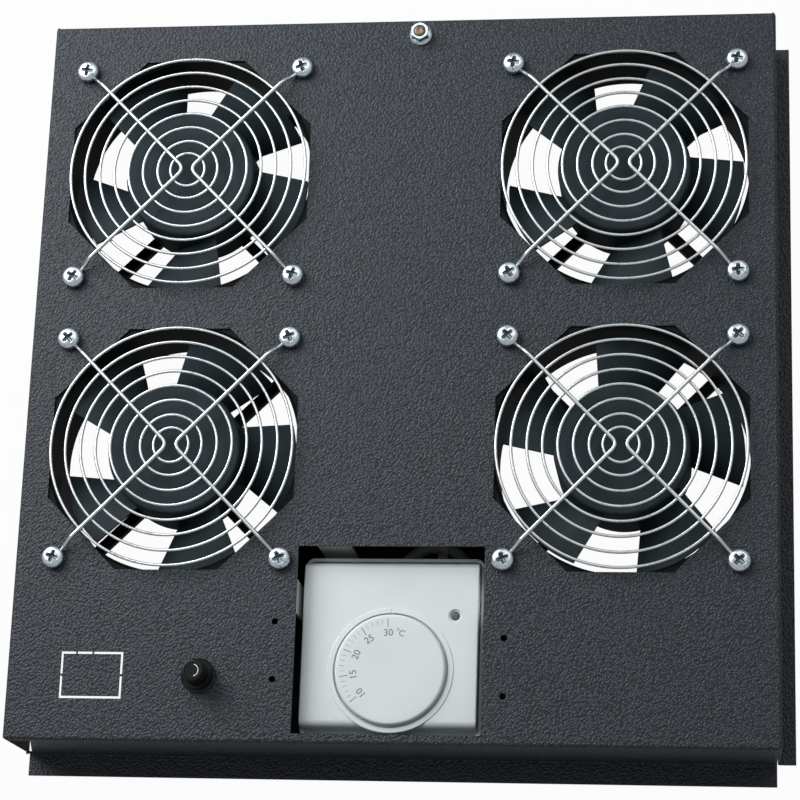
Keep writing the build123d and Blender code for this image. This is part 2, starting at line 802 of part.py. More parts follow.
def thermostat_pan():
    """Folded pan under the thermostat: floor, two side walls with flanges, a front lip and a rear tongue.

    Its flanges lie against the underside of the tray. The tongue runs back between the front fans under
    the cable.
    """
    floor_top = pan_floor_height + pan_sheet
    front = -half_depth + pan_front_gap
    fan_front = fan_pattern_y - (fan_pitch_y + fan_size) / 2
    wide_end = fan_front - pan_wall_gap
    wide_length = wide_end - front
    wide_y = (wide_end + front) / 2
    tongue_half = (fan_pitch_x - fan_size) / 2 - lead_boss_reach - pan_wall_gap
    floor = block(2 * pan_half_width, wide_length, pan_floor_height, floor_top, cutout_x, wide_y)
    floor += block(2 * tongue_half, pan_tongue_length + pan_sheet, pan_floor_height, floor_top,
                   0, wide_end + (pan_tongue_length - pan_sheet) / 2)
    lip_y = front + pan_sheet / 2
    floor += block(2 * pan_half_width, pan_sheet, pan_floor_height, floor_top + pan_lip, cutout_x, lip_y)
    for side in (-1, 1):
        wall_x = cutout_x + side * (pan_half_width - pan_sheet / 2)
        floor += block(pan_sheet, wide_length, pan_floor_height, plate_under, wall_x, wide_y)
        flange_x = cutout_x + side * (pan_half_width + pan_flange / 2)
        floor += block(pan_flange, wide_length, plate_under - pan_sheet, plate_under, flange_x, wide_y)
    return floor


# Fuse holder

fuse_seat = tray_height + fuse_flange_height
fuse_collar_top = fuse_seat + fuse_collar_height
fuse_bore = fuse_carrier_radius + fuse_bore_clearance
fuse_cap_low = fuse_collar_top + fuse_cap_gap
fuse_cap_high = fuse_cap_low + fuse_cap_height
carrier_top = fuse_cap_low + fuse_cap_socket_depth
carrier_low = carrier_top - fuse_carrier_length
link_low = carrier_low - fuse_link_reach
fuse_barrel_low = link_low - fuse_cap_gap - fuse_barrel_floor


def fuse_holder_body():
    """Flange, collar and threaded barrel, bored for the carrier."""
    body = post(fuse_flange_radius, tray_height, fuse_seat, fuse_x, fuse_y)
    body = chamfer(body.edges().group_by(Axis.Z)[-1], fuse_flange_height * 0.3)
    body += post(fuse_collar_radius, fuse_seat, fuse_collar_top, fuse_x, fuse_y)
    body += post(fuse_barrel_radius, fuse_barrel_low, tray_height, fuse_x, fuse_y)
    return body - post(fuse_bore, fuse_barrel_low + fuse_barrel_floor, fuse_collar_top, fuse_x, fuse_y)


def fuse_holder_nut():
    """The plastic nut under the plate."""
    nut = hex_block(fuse_nut_flats, plate_under - fuse_nut_height, plate_under, fuse_x, fuse_y)
    return nut - post(fuse_barrel_radius + thread_clearance, plate_under - fuse_nut_height, plate_under,
                      fuse_x, fuse_y)


def fuse_carrier():
    """The carrier tube that the cap turns on, holding the fuse."""
    tube = post(fuse_carrier_radius, carrier_low, carrier_top, fuse_x, fuse_y)
    return tube - post(fuse_link_radius, carrier_low, link_low + fuse_link_length, fuse_x, fuse_y)


def fuse_link():
    """The glass fuse."""
    return post(fuse_link_radius, link_low, link_low + fuse_link_length, fuse_x, fuse_y)


def fuse_cap():
    """Tapered cap with fine grip ribs, turning on the carrier's end."""
    cap = Pos(fuse_x, fuse_y, fuse_cap_low) * Cone(
        fuse_cap_radius, fuse_cap_top_radius, fuse_cap_height, align=STAND)
    cap = fillet(cap.edges().group_by(Axis.Z)[-1], fuse_cap_edge)
    socket = fuse_carrier_radius + shaft_running_clearance
    return cap - post(socket, fuse_cap_low, carrier_top + fuse_cap_gap, fuse_x, fuse_y)


def fuse_tags():
    """The two solder tags out of the barrel's foot."""
    tags = []
    for side in (-1, 1):
        tags.append(block(fuse_tag_thickness, fuse_tag_width, fuse_barrel_low - fuse_tag_length,
                          fuse_barrel_low, fuse_x + side * fuse_tag_offset, fuse_y))
    return Compound(children=tags)


# Earth stud


def earth_stud():
    """Hexagon screw with its head under the plate and its end up through the nut."""
    head = hex_block(stud_head_flats, plate_under - stud_head_height, plate_under, stud_x, stud_y)
    tip = tray_height + earth_flange_height + earth_nut_height + stud_tip_rise
    shank = post(stud_radius, plate_under, tip, stud_x, stud_y)
    shank = chamfer(shank.edges().group_by(Axis.Z)[-1], stud_radius * 0.25)
    return head + shank


def earth_nut():
    """Hexagon nut with its own flange."""
    flange_top = tray_height + earth_flange_height
    top = flange_top + earth_nut_height
    flange = post(earth_flange_radius, tray_height, flange_top, stud_x, stud_y)
    cone = Pos(stud_x, stud_y, flange_top) * Cone(
        earth_flange_radius, stud_head_flats / 2, earth_flange_height, align=STAND)
    nut = flange + cone + hex_block(stud_head_flats, flange_top, top, stud_x, stud_y)
    return nut - post(stud_radius + thread_clearance, tray_height, top, stud_x, stud_y)


# Terminal block and leads

block_low = plate_under - block_height
wire_z = plate_under - block_wire_height


def pole_places():
    """The middle of each pole along the block."""
    first = block_y - (block_poles - 1) / 2 * block_pole_pitch
    return [first + index * block_pole_pitch for index in range(block_poles)]


def terminal_block():
    """Strip with a screw tower for each pole on each side, open downward for the clamp screws."""
    body = block(block_width, block_length, block_low + block_tower_drop, plate_under, 0, block_y)
    for y in pole_places():
        for side in (-1, 1):
            x = side * (block_width / 2 - block_tower_radius)
            body += post(block_tower_radius, block_low, plate_under - 1, x, y)
            body -= post(block_clamp_radius, block_low, wire_z, x, y)
    for end in (-1, 1):
        y = block_y + end * block_fixing_spacing / 2
        body -= post(block_fixing_radius, block_low, plate_under, 0, y)
    return body


def terminal_screws():
    """The clamp screws, up in their towers."""
    screws = []
    for y in pole_places():
        for side in (-1, 1):
            x = side * (block_width / 2 - block_tower_radius)
            screws.append(post(block_clamp_radius - thread_clearance, block_low + block_clamp_floor, wire_z, x, y))
    return Compound(children=screws)


def block_studs():
    """Two studs welded under the plate, and the nuts that hold the block on them."""
    pieces = []
    seat = block_low + block_tower_drop
    nut_low = seat - block_nut_height
    stud = block_fixing_radius - thread_clearance
    for end in (-1, 1):
        y = block_y + end * block_fixing_spacing / 2
        pieces.append(post(stud, nut_low - block_stud_end, plate_under, 0, y))
        nut = hex_block(block_nut_flats, nut_low, seat, 0, y)
        pieces.append(nut - post(block_fixing_radius, nut_low, seat, 0, y))
    return Compound(children=pieces)


def corner_radii(points, share):
    """For each corner, the largest tangent arc that uses this share of its shorter run."""
    radii = []
    for before, here, after in zip(points, points[1:], points[2:]):
        run_in = Vector(*here) - Vector(*before)
        run_out = Vector(*after) - Vector(*here)
        half_turn = math.radians(run_in.get_angle(run_out)) / 2
        radii.append(share * min(run_in.length, run_out.length) / math.tan(half_turn))
    return radii


def cord(points, diameter, name):
    """A round cord along straight runs joined by tangent arcs, with its smallest arc printed."""
    radii = corner_radii(points, cable_turn_share)
    path = FilletPolyline(*points, radius=radii)
    section = Plane(path @ 0, z_dir=path % 0) * Circle(diameter / 2)
    tube = sweep(section, path=path)
    expected = math.pi * diameter ** 2 / 4 * path.length
    print(name, "length", round(path.length, 1), "smallest arc", round(min(radii), 1),
          "volume share", round(tube.volume / expected, 4))
    return tube


lead_z = plate_under - fan_depth + fan_ear_thickness + lead_boss_height / 2


def fan_lead(side, end):
    """The lead of one fan, from its boss across the channel and up to a pole of the block."""
    start = Vector(fan_pitch_x / 2 - fan_size / 2 - lead_boss_reach, fan_pitch_y / 2 - lead_boss_offset, lead_z)
    way = Vector(block_width / 2, block_pole_pitch, wire_z) - start
    points = []
    for across, along, up in lead_points:
        x = start.X + across * way.X
        y = start.Y + along * way.Y
        points.append((side * x, block_y + end * y, start.Z + up * way.Z))
    return cord(points, lead_diameter, "fan_lead")


def thermostat_cable():
    """The sheathed cable from the regulator, looped under the thermostat and on to the block's front end."""
    return cord(cable_route, cable_diameter, "thermostat_cable")


def cable_tie():
    """The strap round the middle of one run of the cable's loop, with its head above."""
    before = Vector(*cable_route[tie_run])
    after = Vector(*cable_route[tie_run + 1])
    inner = cable_diameter / 2 + thread_clearance
    outer = inner + tie_thickness
    strap = Cylinder(outer, tie_width) - Cylinder(inner, tie_width)
    head = Pos(0, outer + tie_head_size / 2 - tie_thickness / 2, 0) * Box(tie_head_size, tie_head_size, tie_head_size)
    return Plane(origin=(before + after) / 2, x_dir=(0, 0, 1), z_dir=after - before) * (strap + head)


# The whole tray, one file for each named piece


def save_fans():
    """Every fan with its guard and fasteners, in its own place."""
    guard = fan_guard()
    for number, (fan_x, fan_y) in enumerate(fan_places, start=1):
        side = 1 if fan_x > 0 else -1
        end = 1 if fan_y > fan_pattern_y else -1
        place = Pos(fan_x, fan_y, plate_under)
        turn = Rot(0, 0, impeller_phase[number - 1])
        save(f"fan_{number}_frame", place * fan_frame(side, end))
        save(f"fan_{number}_stator", place * fan_stator())
        save(f"fan_{number}_bearings", place * fan_bearings())
        save(f"fan_{number}_impeller", place * turn * fan_impeller())
        save(f"fan_{number}_shaft", place * fan_shaft())
        save(f"fan_{number}_guard", place * guard)
        save(f"fan_{number}_guard_screws", place * guard_screws())
        save(f"fan_{number}_guard_nuts", place * guard_nuts())
        save(f"fan_{number}_lead", fan_lead(side, end))


def save_thermostat():
    """The thermostat, its bracket and its cable."""
    save("thermostat_base", thermostat_base())
    save("thermostat_cover", thermostat_cover())
    save("thermostat_dial", thermostat_dial())
    save("thermostat_spindle", thermostat_spindle())
    save("thermostat_regulator", thermostat_regulator())
    save("thermostat_lens", thermostat_lens())
    save("thermostat_bracket", thermostat_bracket())
    save("thermostat_screws", thermostat_screws())
    save("thermostat_pan", thermostat_pan())
    save("thermostat_cable", thermostat_cable())
    save("cable_tie", cable_tie())


def save_fittings():
    """The fuse holder, the earth stud and the terminal block."""
    save("fuse_holder_body", fuse_holder_body())
    save("fuse_holder_nut", fuse_holder_nut())
    save("fuse_carrier", fuse_carrier())
    save("fuse_link", fuse_link())
    save("fuse_cap", fuse_cap())
    save("fuse_tags", fuse_tags())
    save("earth_stud", earth_stud())
    save("earth_nut", earth_nut())
    save("terminal_block", terminal_block())
    save("terminal_screws", terminal_screws())
    save("block_studs", block_studs())


save("housing", housing())
save_fans()
save_thermostat()
save_fittings()
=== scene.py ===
# %% [markdown]
# A fan tray for the roof of a cabinet: a folded sheet of steel with a black wrinkle coat, four axial fans
# under bright wire guards, a pale room thermostat in a cut-out, a fuse holder and an earth stud. The solids
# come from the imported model. This lesson dresses them: it adds the finer shapes, the finishes and the light.

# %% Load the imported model
import json
import math

import bmesh
import bpy
import numpy as np
from mathutils import Matrix, Vector


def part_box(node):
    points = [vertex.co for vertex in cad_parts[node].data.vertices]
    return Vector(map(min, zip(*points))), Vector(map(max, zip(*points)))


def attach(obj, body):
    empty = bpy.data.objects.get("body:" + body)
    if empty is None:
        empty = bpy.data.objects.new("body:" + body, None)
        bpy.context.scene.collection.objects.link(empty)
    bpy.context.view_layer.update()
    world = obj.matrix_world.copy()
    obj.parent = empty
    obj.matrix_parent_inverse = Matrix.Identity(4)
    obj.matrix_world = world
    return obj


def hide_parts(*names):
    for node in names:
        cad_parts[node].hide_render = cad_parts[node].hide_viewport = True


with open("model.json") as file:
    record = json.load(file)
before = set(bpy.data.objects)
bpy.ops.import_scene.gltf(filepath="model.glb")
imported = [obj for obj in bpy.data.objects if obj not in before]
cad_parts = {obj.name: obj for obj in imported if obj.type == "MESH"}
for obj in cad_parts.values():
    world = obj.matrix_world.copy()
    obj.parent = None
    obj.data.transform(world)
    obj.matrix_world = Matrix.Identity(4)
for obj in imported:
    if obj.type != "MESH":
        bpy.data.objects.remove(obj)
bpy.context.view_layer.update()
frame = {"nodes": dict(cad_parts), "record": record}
nodes = frame["nodes"]
MM = 0.001
FANS = (1, 2, 3, 4)

# %% [markdown]
# The camera looks down on the tray from the front right and is rolled to the left, as someone holding it
# over a table would. Its place and its three directions were found by fitting the sixteen screw heads.

# %% Camera
SENSOR_WIDTH = 36.0
FOCAL_LENGTH = 114.70
camera_data = bpy.data.cameras.new("camera")
camera_data.sensor_width = SENSOR_WIDTH
camera_data.lens = FOCAL_LENGTH
camera_place = Vector((0.15107, -0.34394, 1.15452))
camera_right = Vector((0.99177236, 0.03323612, -0.12362422))
camera_up = Vector((0.00315696, 0.95906476, 0.28316925))
camera_back = Vector((0.12797508, -0.28122971, 0.95106899))
camera = bpy.data.objects.new("camera", camera_data)
bpy.context.scene.collection.objects.link(camera)
turn = Matrix((camera_right, camera_up, camera_back)).transposed().to_4x4()
camera.matrix_world = Matrix.Translation(camera_place) @ turn
bpy.context.scene.camera = camera
bpy.context.scene.view_settings.view_transform = "Standard"
print("camera", [round(v, 3) for v in camera_place])

# %% [markdown]
# Every material is a small node tree. A few helpers keep the trees short: one adds a node and fills its
# settings, one makes the base shader, and the others add a noise, a ramp or a bump on Object coordinates.


# %% Helpers for node trees
def add_node(tree, kind, **inputs):
    """A node of this kind, with the named sockets filled in."""
    node = tree.nodes.new(kind)
    for name, value in inputs.items():
        node.inputs[name.replace("_", " ")].default_value = value
    return node


def base_material(name, colour, roughness, metallic=0.0, specular=0.5):
    """A material with the main shader set to plain values, and its tree."""
    material = bpy.data.materials.new(name)
    material.use_nodes = True
    tree = material.node_tree
    shader = tree.nodes["Principled BSDF"]
    shader.inputs["Base Color"].default_value = (*colour, 1.0)
    shader.inputs["Roughness"].default_value = roughness
    shader.inputs["Metallic"].default_value = metallic
    shader.inputs["Specular IOR Level"].default_value = specular
    return material, tree, shader


def object_space(tree, stretch=(1.0, 1.0, 1.0), turned=(0.0, 0.0, 0.0)):
    """Object coordinates for a pattern that is stretched along its own axes and turned as a whole."""
    place = tree.nodes.new("ShaderNodeTexCoord")
    mapping = tree.nodes.new("ShaderNodeMapping")
    mapping.vector_type = "TEXTURE"
    mapping.inputs["Scale"].default_value = stretch
    mapping.inputs["Rotation"].default_value = turned
    tree.links.new(place.outputs["Object"], mapping.inputs["Vector"])
    return mapping.outputs["Vector"]


def grain(tree, where, size, detail=2.0, roughness=0.5):
    """A noise whose features are about this long, in metres."""
    noise = add_node(tree, "ShaderNodeTexNoise", Scale=0.5 / size, Detail=detail, Roughness=roughness)
    tree.links.new(where, noise.inputs["Vector"])
    return noise.outputs["Fac"]


def ramp(tree, value, stops):
    """A colour ramp over a value: each stop is a place and a colour."""
    node = tree.nodes.new("ShaderNodeValToRGB")
    elements = node.color_ramp.elements
    while len(elements) < len(stops):
        elements.new(0.5)
    for element, (place, colour) in zip(elements, stops):
        element.position = place
        element.color = (*colour, 1.0)
    tree.links.new(value, node.inputs["Fac"])
    return node.outputs["Color"]


def span(tree, value, low, high):
    """A value from 0 to 1 spread over a range."""
    node = tree.nodes.new("ShaderNodeMapRange")
    node.inputs["To Min"].default_value = low
    node.inputs["To Max"].default_value = high
    tree.links.new(value, node.inputs["Value"])
    return node.outputs["Result"]


def bump(tree, height, distance, strength, shader):
    """Relief from a height value, this deep in metres."""
    node = add_node(tree, "ShaderNodeBump", Strength=strength, Distance=distance)
    tree.links.new(height, node.inputs["Height"])
    tree.links.new(node.outputs["Normal"], shader.inputs["Normal"])


# %% [markdown]
# The tray is shown on a white table. A white floor needs no strong lamps: for the rays of a camera and those
# that pass through glass, the floor and the sky glow at strength 1, which is white. They glow less for mirror
# rays, because the photograph's room was dimmer than its white ground, and the floor is still partly lit, so
# that the tray's shadow stays on it.


# %% Floor, sky and lamps
FLOOR_HALF = 6.0
FLOOR_DROP = 0.0004
FLOOR_TONE = 0.45
FLOOR_ROUGHNESS = 0.9
FLOOR_SEEN = 0.965
FLOOR_MIRRORED = 0.12
SKY_TINT = (0.97, 0.985, 1.0)
SKY_LEVEL = 0.24
SKY_SEEN = 1.0
SKY_MIRRORED = 0.35
WHITE = (1.0, 1.0, 1.0, 1.0)
# Name, place, side in metres and power in watts of each lamp
LAMPS = (("key_lamp", (-0.65, 0.5, 0.7), 0.8, 12.0), ("fill_lamp", (0.6, 1.1, 1.8), 1.6, 9.0))


def seen_share(tree, camera_share, glossy_share):
    """The first share for camera and transmission rays, the second for glossy rays and 0 for the rest."""
    path = tree.nodes.new("ShaderNodeLightPath")
    total = None
    shares = (("Is Camera Ray", camera_share), ("Is Transmission Ray", camera_share),
              ("Is Glossy Ray", glossy_share))
    for name, share in shares:
        part = tree.nodes.new("ShaderNodeMath")
        part.operation = "MULTIPLY"
        part.inputs[1].default_value = share
        tree.links.new(path.outputs[name], part.inputs[0])
        if total is not None:
            either = tree.nodes.new("ShaderNodeMath")
            either.operation = "MAXIMUM"
            tree.links.new(total, either.inputs[0])
            tree.links.new(part.outputs["Value"], either.inputs[1])
            part = either
        total = part.outputs["Value"]
    return total


def white_floor():
    """A pale floor of which a share glows for the rays that see it."""
    material, tree, shader = base_material("white_floor", (FLOOR_TONE,) * 3, FLOOR_ROUGHNESS, specular=0.0)
    glow = add_node(tree, "ShaderNodeEmission", Color=WHITE, Strength=1.0)
    mix = tree.nodes.new("ShaderNodeMixShader")
    tree.links.new(seen_share(tree, FLOOR_SEEN, FLOOR_MIRRORED), mix.inputs["Fac"])
    tree.links.new(shader.outputs["BSDF"], mix.inputs[1])
    tree.links.new(glow.outputs["Emission"], mix.inputs[2])
    tree.links.new(mix.outputs["Shader"], tree.nodes["Material Output"].inputs["Surface"])
    return material


def white_sky():
    """A world that looks white and lights the scene at a low level."""
    world = bpy.data.worlds.new("white_sky")
    world.use_nodes = True
    tree = world.node_tree
    lit = tree.nodes["Background"]
    lit.inputs["Color"].default_value = (*SKY_TINT, 1.0)
    lit.inputs["Strength"].default_value = SKY_LEVEL
    shown = add_node(tree, "ShaderNodeBackground", Color=WHITE, Strength=1.0)
    mix = tree.nodes.new("ShaderNodeMixShader")
    tree.links.new(seen_share(tree, SKY_SEEN, SKY_MIRRORED), mix.inputs["Fac"])
    tree.links.new(lit.outputs["Background"], mix.inputs[1])
    tree.links.new(shown.outputs["Background"], mix.inputs[2])
    tree.links.new(mix.outputs["Shader"], tree.nodes["World Output"].inputs["Surface"])
    return world


def soft_lamp(name, place, size, power):
    """A square lamp that faces the tray's middle."""
    data = bpy.data.lights.new(name, "AREA")
    data.size = size
    data.energy = power
    lamp = bpy.data.objects.new(name, data)
    lamp.location = place
    lamp.rotation_euler = (-Vector(place)).to_track_quat("-Z", "Y").to_euler()
    bpy.context.scene.collection.objects.link(lamp)
    return lamp


floor_mesh = bpy.data.meshes.new("floor")
floor_corners = [(-1, -1), (1, -1), (1, 1), (-1, 1)]
floor_points = [(x * FLOOR_HALF, y * FLOOR_HALF, -FLOOR_DROP) for x, y in floor_corners]
floor_mesh.from_pydata(floor_points, [], [(0, 1, 2, 3)])
floor_mesh.materials.append(white_floor())
floor = bpy.data.objects.new("floor", floor_mesh)
bpy.context.scene.collection.objects.link(floor)
bpy.context.scene.world = white_sky()
for lamp_name, lamp_place, lamp_size, lamp_power in LAMPS:
    soft_lamp(lamp_name, lamp_place, lamp_size, lamp_power)
print("floor and", len(LAMPS), "lamps")

# %% [markdown]
# The housing's coat is a wrinkle paint: short curved ridges about a millimetre apart, with valleys
# between them. Cells that are a little stretched along the diagonal, on coordinates that a noise has bent,
# give the ridges. They drive the relief and a painted shade: the colour is painted lighter on the tops and
# darker in the valleys.


# %% Wrinkle coat
COAT_RIDGE = 0.00088
COAT_BEND = 0.0006
COAT_STRETCH = 1.35
COAT_TURN = -0.7
COAT_SMOOTH = 0.5
COAT_GLOSS = (0.30, 0.55)
COAT_RELIEF = 0.00042
COAT_BASE = (0.03, 0.033, 0.04)
# Painted shade: from the lighter ridges to the darker valleys
COAT_SHADE_TONES = [(0.10, (0.038, 0.051, 0.066)), (0.38, (0.022, 0.0305, 0.041)), (0.62, (0.009, 0.0140, 0.0195))]


def wrinkle_coat():
    """Black wrinkle powder coat, with painted shade in its valleys."""
    material, tree, shader = base_material("wrinkle_coat", COAT_BASE, 0.5, specular=0.35)
    where = object_space(tree, (1.0, COAT_STRETCH, 1.0), (0.0, 0.0, COAT_TURN))
    bend = add_node(tree, "ShaderNodeTexNoise", Scale=1.0 / COAT_RIDGE, Detail=1.0)
    tree.links.new(where, bend.inputs["Vector"])
    shift = tree.nodes.new("ShaderNodeVectorMath")
    shift.operation = "MULTIPLY_ADD"
    shift.inputs[1].default_value = (COAT_BEND,) * 3
    tree.links.new(bend.outputs["Color"], shift.inputs[0])
    tree.links.new(where, shift.inputs[2])
    cells = tree.nodes.new("ShaderNodeTexVoronoi")
    cells.feature = "SMOOTH_F1"
    cells.inputs["Scale"].default_value = 1.0 / COAT_RIDGE
    cells.inputs["Smoothness"].default_value = COAT_SMOOTH
    tree.links.new(shift.outputs["Vector"], cells.inputs["Vector"])
    valley = cells.outputs["Distance"]
    # Painted shade: the ramp darkens the colour in the valleys and lightens it on the ridges.
    tree.links.new(ramp(tree, valley, COAT_SHADE_TONES), shader.inputs["Base Color"])
    tree.links.new(span(tree, valley, *COAT_GLOSS), shader.inputs["Roughness"])
    relief = tree.nodes.new("ShaderNodeMath")
    relief.operation = "SUBTRACT"
    relief.inputs[0].default_value = 1.0
    tree.links.new(valley, relief.inputs[1])
    bump(tree, relief.outputs["Value"], COAT_RELIEF, 1.0, shader)
    return material


# %% [markdown]
# Black mouldings and castings differ in gloss more than in colour. The fan frames are cast and painted, the
# impellers are moulded, and the fuse holder is a polished moulding. Each gets its own gloss and a fine,
# uneven surface.


# %% Black castings and mouldings
CLOUD_GRAINS = 12
CLOUD_DARK = 0.7


def black_finish(name, colour, gloss_low, gloss_high, size, depth, specular=0.5):
    """A dark finish whose roughness wanders between two values over a fine relief."""
    material, tree, shader = base_material(name, colour, gloss_low, specular=specular)
    where = object_space(tree)
    cloud = grain(tree, where, size * CLOUD_GRAINS, 2.0)
    tree.links.new(span(tree, cloud, gloss_low, gloss_high), shader.inputs["Roughness"])
    darker = tuple(CLOUD_DARK * channel for channel in colour)
    tree.links.new(ramp(tree, cloud, [(0.3, darker), (0.7, colour)]), shader.inputs["Base Color"])
    bump(tree, grain(tree, where, size, 3.0), depth, 0.3, shader)
    return material


# %% [markdown]
# The guards are plated steel wire and the screws are blue-white zinc. Metal shows what is round it, so the
# tone is set by roughness, and thin stains and pits keep it from looking like a mirror.


# %% Bright metals
# Painted shade: the colour that the deepest part of a screw's cross recess is darkened to, in place of its
# shadow.
RECESS_SHADE_COLOUR = (0.07, 0.085, 0.10)
STAIN_EDGE = 0.06
PIT_DEPTH = 0.00008
GLOSS_SPREAD = (0.7, 1.4)


def plated_metal(name, colour, stain, roughness, stain_size, stain_share, metallic=1.0):
    """A plated metal with small stains over part of it, and a painted shade where a piece's recess shade value
    is 1.
    """
    material, tree, shader = base_material(name, colour, roughness, metallic=metallic)
    where = object_space(tree)
    spots = grain(tree, where, stain_size, 4.0, 0.65)
    edge = 0.5 - stain_share
    stops = [(max(edge - STAIN_EDGE, 0.0), stain), (edge + STAIN_EDGE, colour)]
    # Painted shade: a piece's recess shade value darkens the colour where the piece is sunk, in place of its
    # shadow.
    recess_shade = tree.nodes.new("ShaderNodeAttribute")
    recess_shade.attribute_name = "recess_shade"
    recess_shade_mix = tree.nodes.new("ShaderNodeMix")
    recess_shade_mix.data_type = "RGBA"
    recess_shade_mix.inputs["B"].default_value = (*RECESS_SHADE_COLOUR, 1.0)
    tree.links.new(recess_shade.outputs["Fac"], recess_shade_mix.inputs["Factor"])
    tree.links.new(ramp(tree, spots, stops), recess_shade_mix.inputs["A"])
    tree.links.new(recess_shade_mix.outputs["Result"], shader.inputs["Base Color"])
    cloud = grain(tree, where, stain_size * 4, 2.0)
    low, high = (roughness * share for share in GLOSS_SPREAD)
    tree.links.new(span(tree, cloud, low, high), shader.inputs["Roughness"])
    bump(tree, spots, PIT_DEPTH, 0.25, shader)
    return material


# %% [markdown]
# The thermostat is moulded in a pale grey plastic with a fine spark-eroded skin, so that its tone turns
# round on it in soft steps. The other plastics use the same recipe in their own colours.


# %% Pale plastics and nylon
TONE_CLOUD = 0.012
TONE_LOW = 0.955
SKIN_SPREAD = (0.92, 1.1)
GLASS_TINT = (0.9, 0.94, 0.94)
GLASS_CLEAR = 0.9
GLASS_WAVE = 0.002


def moulded_plastic(name, colour, roughness, skin_size=0.0004, depth=0.00004):
    """A moulded plastic with a fine skin and faint clouds of tone."""
    material, tree, shader = base_material(name, colour, roughness, specular=0.4)
    where = object_space(tree)
    cloud = grain(tree, where, TONE_CLOUD, 2.0)
    lower = tuple(TONE_LOW * channel for channel in colour)
    tree.links.new(ramp(tree, cloud, [(0.3, lower), (0.7, colour)]), shader.inputs["Base Color"])
    low, high = (roughness * share for share in SKIN_SPREAD)
    tree.links.new(span(tree, cloud, low, high), shader.inputs["Roughness"])
    bump(tree, grain(tree, where, skin_size, 2.0), depth, 0.35, shader)
    return material


def clear_glass(name):
    """The glass of the fuse, faintly uneven."""
    material, tree, shader = base_material(name, GLASS_TINT, 0.05)
    shader.inputs["Transmission Weight"].default_value = GLASS_CLEAR
    where = object_space(tree)
    tree.links.new(span(tree, grain(tree, where, 0.003), 0.03, 0.12), shader.inputs["Roughness"])
    bump(tree, grain(tree, where, GLASS_WAVE), 0.00005, 0.2, shader)
    return material


# %% One finish for each slot
finishes = {"housing_coat": wrinkle_coat(), "fuse_glass": clear_glass("fuse_glass")}

# Colour, lowest and highest roughness, grain size, relief and specular level
black_finishes = {
    "fan_frame_black": ("cast_black", (0.0040, 0.0047, 0.0055), 0.40, 0.55, 0.0008, 0.00006, 0.10),
    "impeller_plastic": ("impeller_black", (0.0290, 0.0440, 0.0520), 0.50, 0.62, 0.0006, 0.00004, 0.10),
    "pan_black": ("pan_black", (0.008, 0.008, 0.009), 0.40, 0.55, 0.0010, 0.00005, 0.3),
    "fuse_plastic": ("fuse_black", (0.004, 0.0045, 0.005), 0.18, 0.32, 0.0009, 0.00003, 0.3),
}
for slot, values in black_finishes.items():
    finishes[slot] = black_finish(*values)

# Colour, stain colour, roughness, stain size, stained share and how metallic it is
metal_finishes = {
    "guard_chrome": ("bright_wire", (0.60, 0.635, 0.645), (0.36, 0.37, 0.37), 0.27, 0.0016, 0.14),
    "screw_zinc": ("blue_zinc", (0.60, 0.68, 0.73), (0.20, 0.25, 0.29), 0.26, 0.0010, 0.12),
    "bearing_steel": ("ground_steel", (0.62, 0.62, 0.64), (0.35, 0.34, 0.33), 0.25, 0.0015, 0.10),
    "stator_steel": ("lamination_steel", (0.42, 0.42, 0.44), (0.16, 0.12, 0.09), 0.45, 0.0012, 0.12),
    "stud_steel": ("aged_zinc", (0.20, 0.15, 0.11), (0.07, 0.05, 0.035), 0.42, 0.0008, 0.12),
    "bracket_zinc": ("zinc_sheet", (0.62, 0.66, 0.64), (0.42, 0.45, 0.43), 0.45, 0.0060, 0.14, 0.4),
    "tag_brass": ("plated_brass", (0.74, 0.60, 0.34), (0.40, 0.28, 0.14), 0.32, 0.0010, 0.12),
}
for slot, values in metal_finishes.items():
    finishes[slot] = plated_metal(*values)

# Colour and roughness, and where they aren't the usual ones, the skin's grain size and its depth
plastic_finishes = {
    "thermostat_plastic": ("pale_case", (0.76, 0.82, 0.83), 0.42),
    "dial_plastic": ("pale_dial", (0.75, 0.81, 0.825), 0.42),
    "regulator_plastic": ("regulator_grey", (0.22, 0.22, 0.23), 0.50),
    "lens_plastic": ("smoked_lens", (0.12, 0.125, 0.13), 0.12),
    "cable_sheath": ("grey_sheath", (0.44, 0.47, 0.47), 0.48, 0.0008, 0.00006),
    "lead_insulation": ("black_insulation", (0.014, 0.014, 0.015), 0.45, 0.0008, 0.00005),
    "tie_nylon": ("natural_nylon", (0.52, 0.53, 0.50), 0.40),
    "block_nylon": ("block_nylon", (0.66, 0.66, 0.60), 0.45),
}
for slot, values in plastic_finishes.items():
    finishes[slot] = moulded_plastic(*values)
print("finishes", len(finishes))

# %% [markdown]
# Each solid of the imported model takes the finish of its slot. Nothing is moved and no mesh is changed.

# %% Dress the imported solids
slot_of = {part["node"]: part["material_slot"] for part in frame["record"]["subparts"]}
for name, node in nodes.items():
    node.data.materials.clear()
    node.data.materials.append(finishes[slot_of[name]])
print("dressed", len(slot_of))

# %% [markdown]
# New surfaces are grids of points worked out with numpy. A grid's rows run along one parameter and its
# columns along the other, and either can close on itself. Several grids can go into one piece. Points that
# fall together at a pole or a seam are merged, and the faces are then turned outwards.


# %% Helpers for surfaces
def grid_quads(rows, columns, ring_rows, ring_columns):
    """Corner numbers of the quads of a grid, with its last row or column joined to the first where asked."""
    row = np.arange(rows if ring_rows else rows - 1)[:, None]
    column = np.arange(columns if ring_columns else columns - 1)[None, :]
    next_row = (row + 1) % rows
    next_column = (column + 1) % columns
    corners = (row * columns + column, row * columns + next_column,
               next_row * columns + next_column, next_row * columns + column)
    return np.stack(np.broadcast_arrays(*corners), axis=-1).reshape(-1, 4)


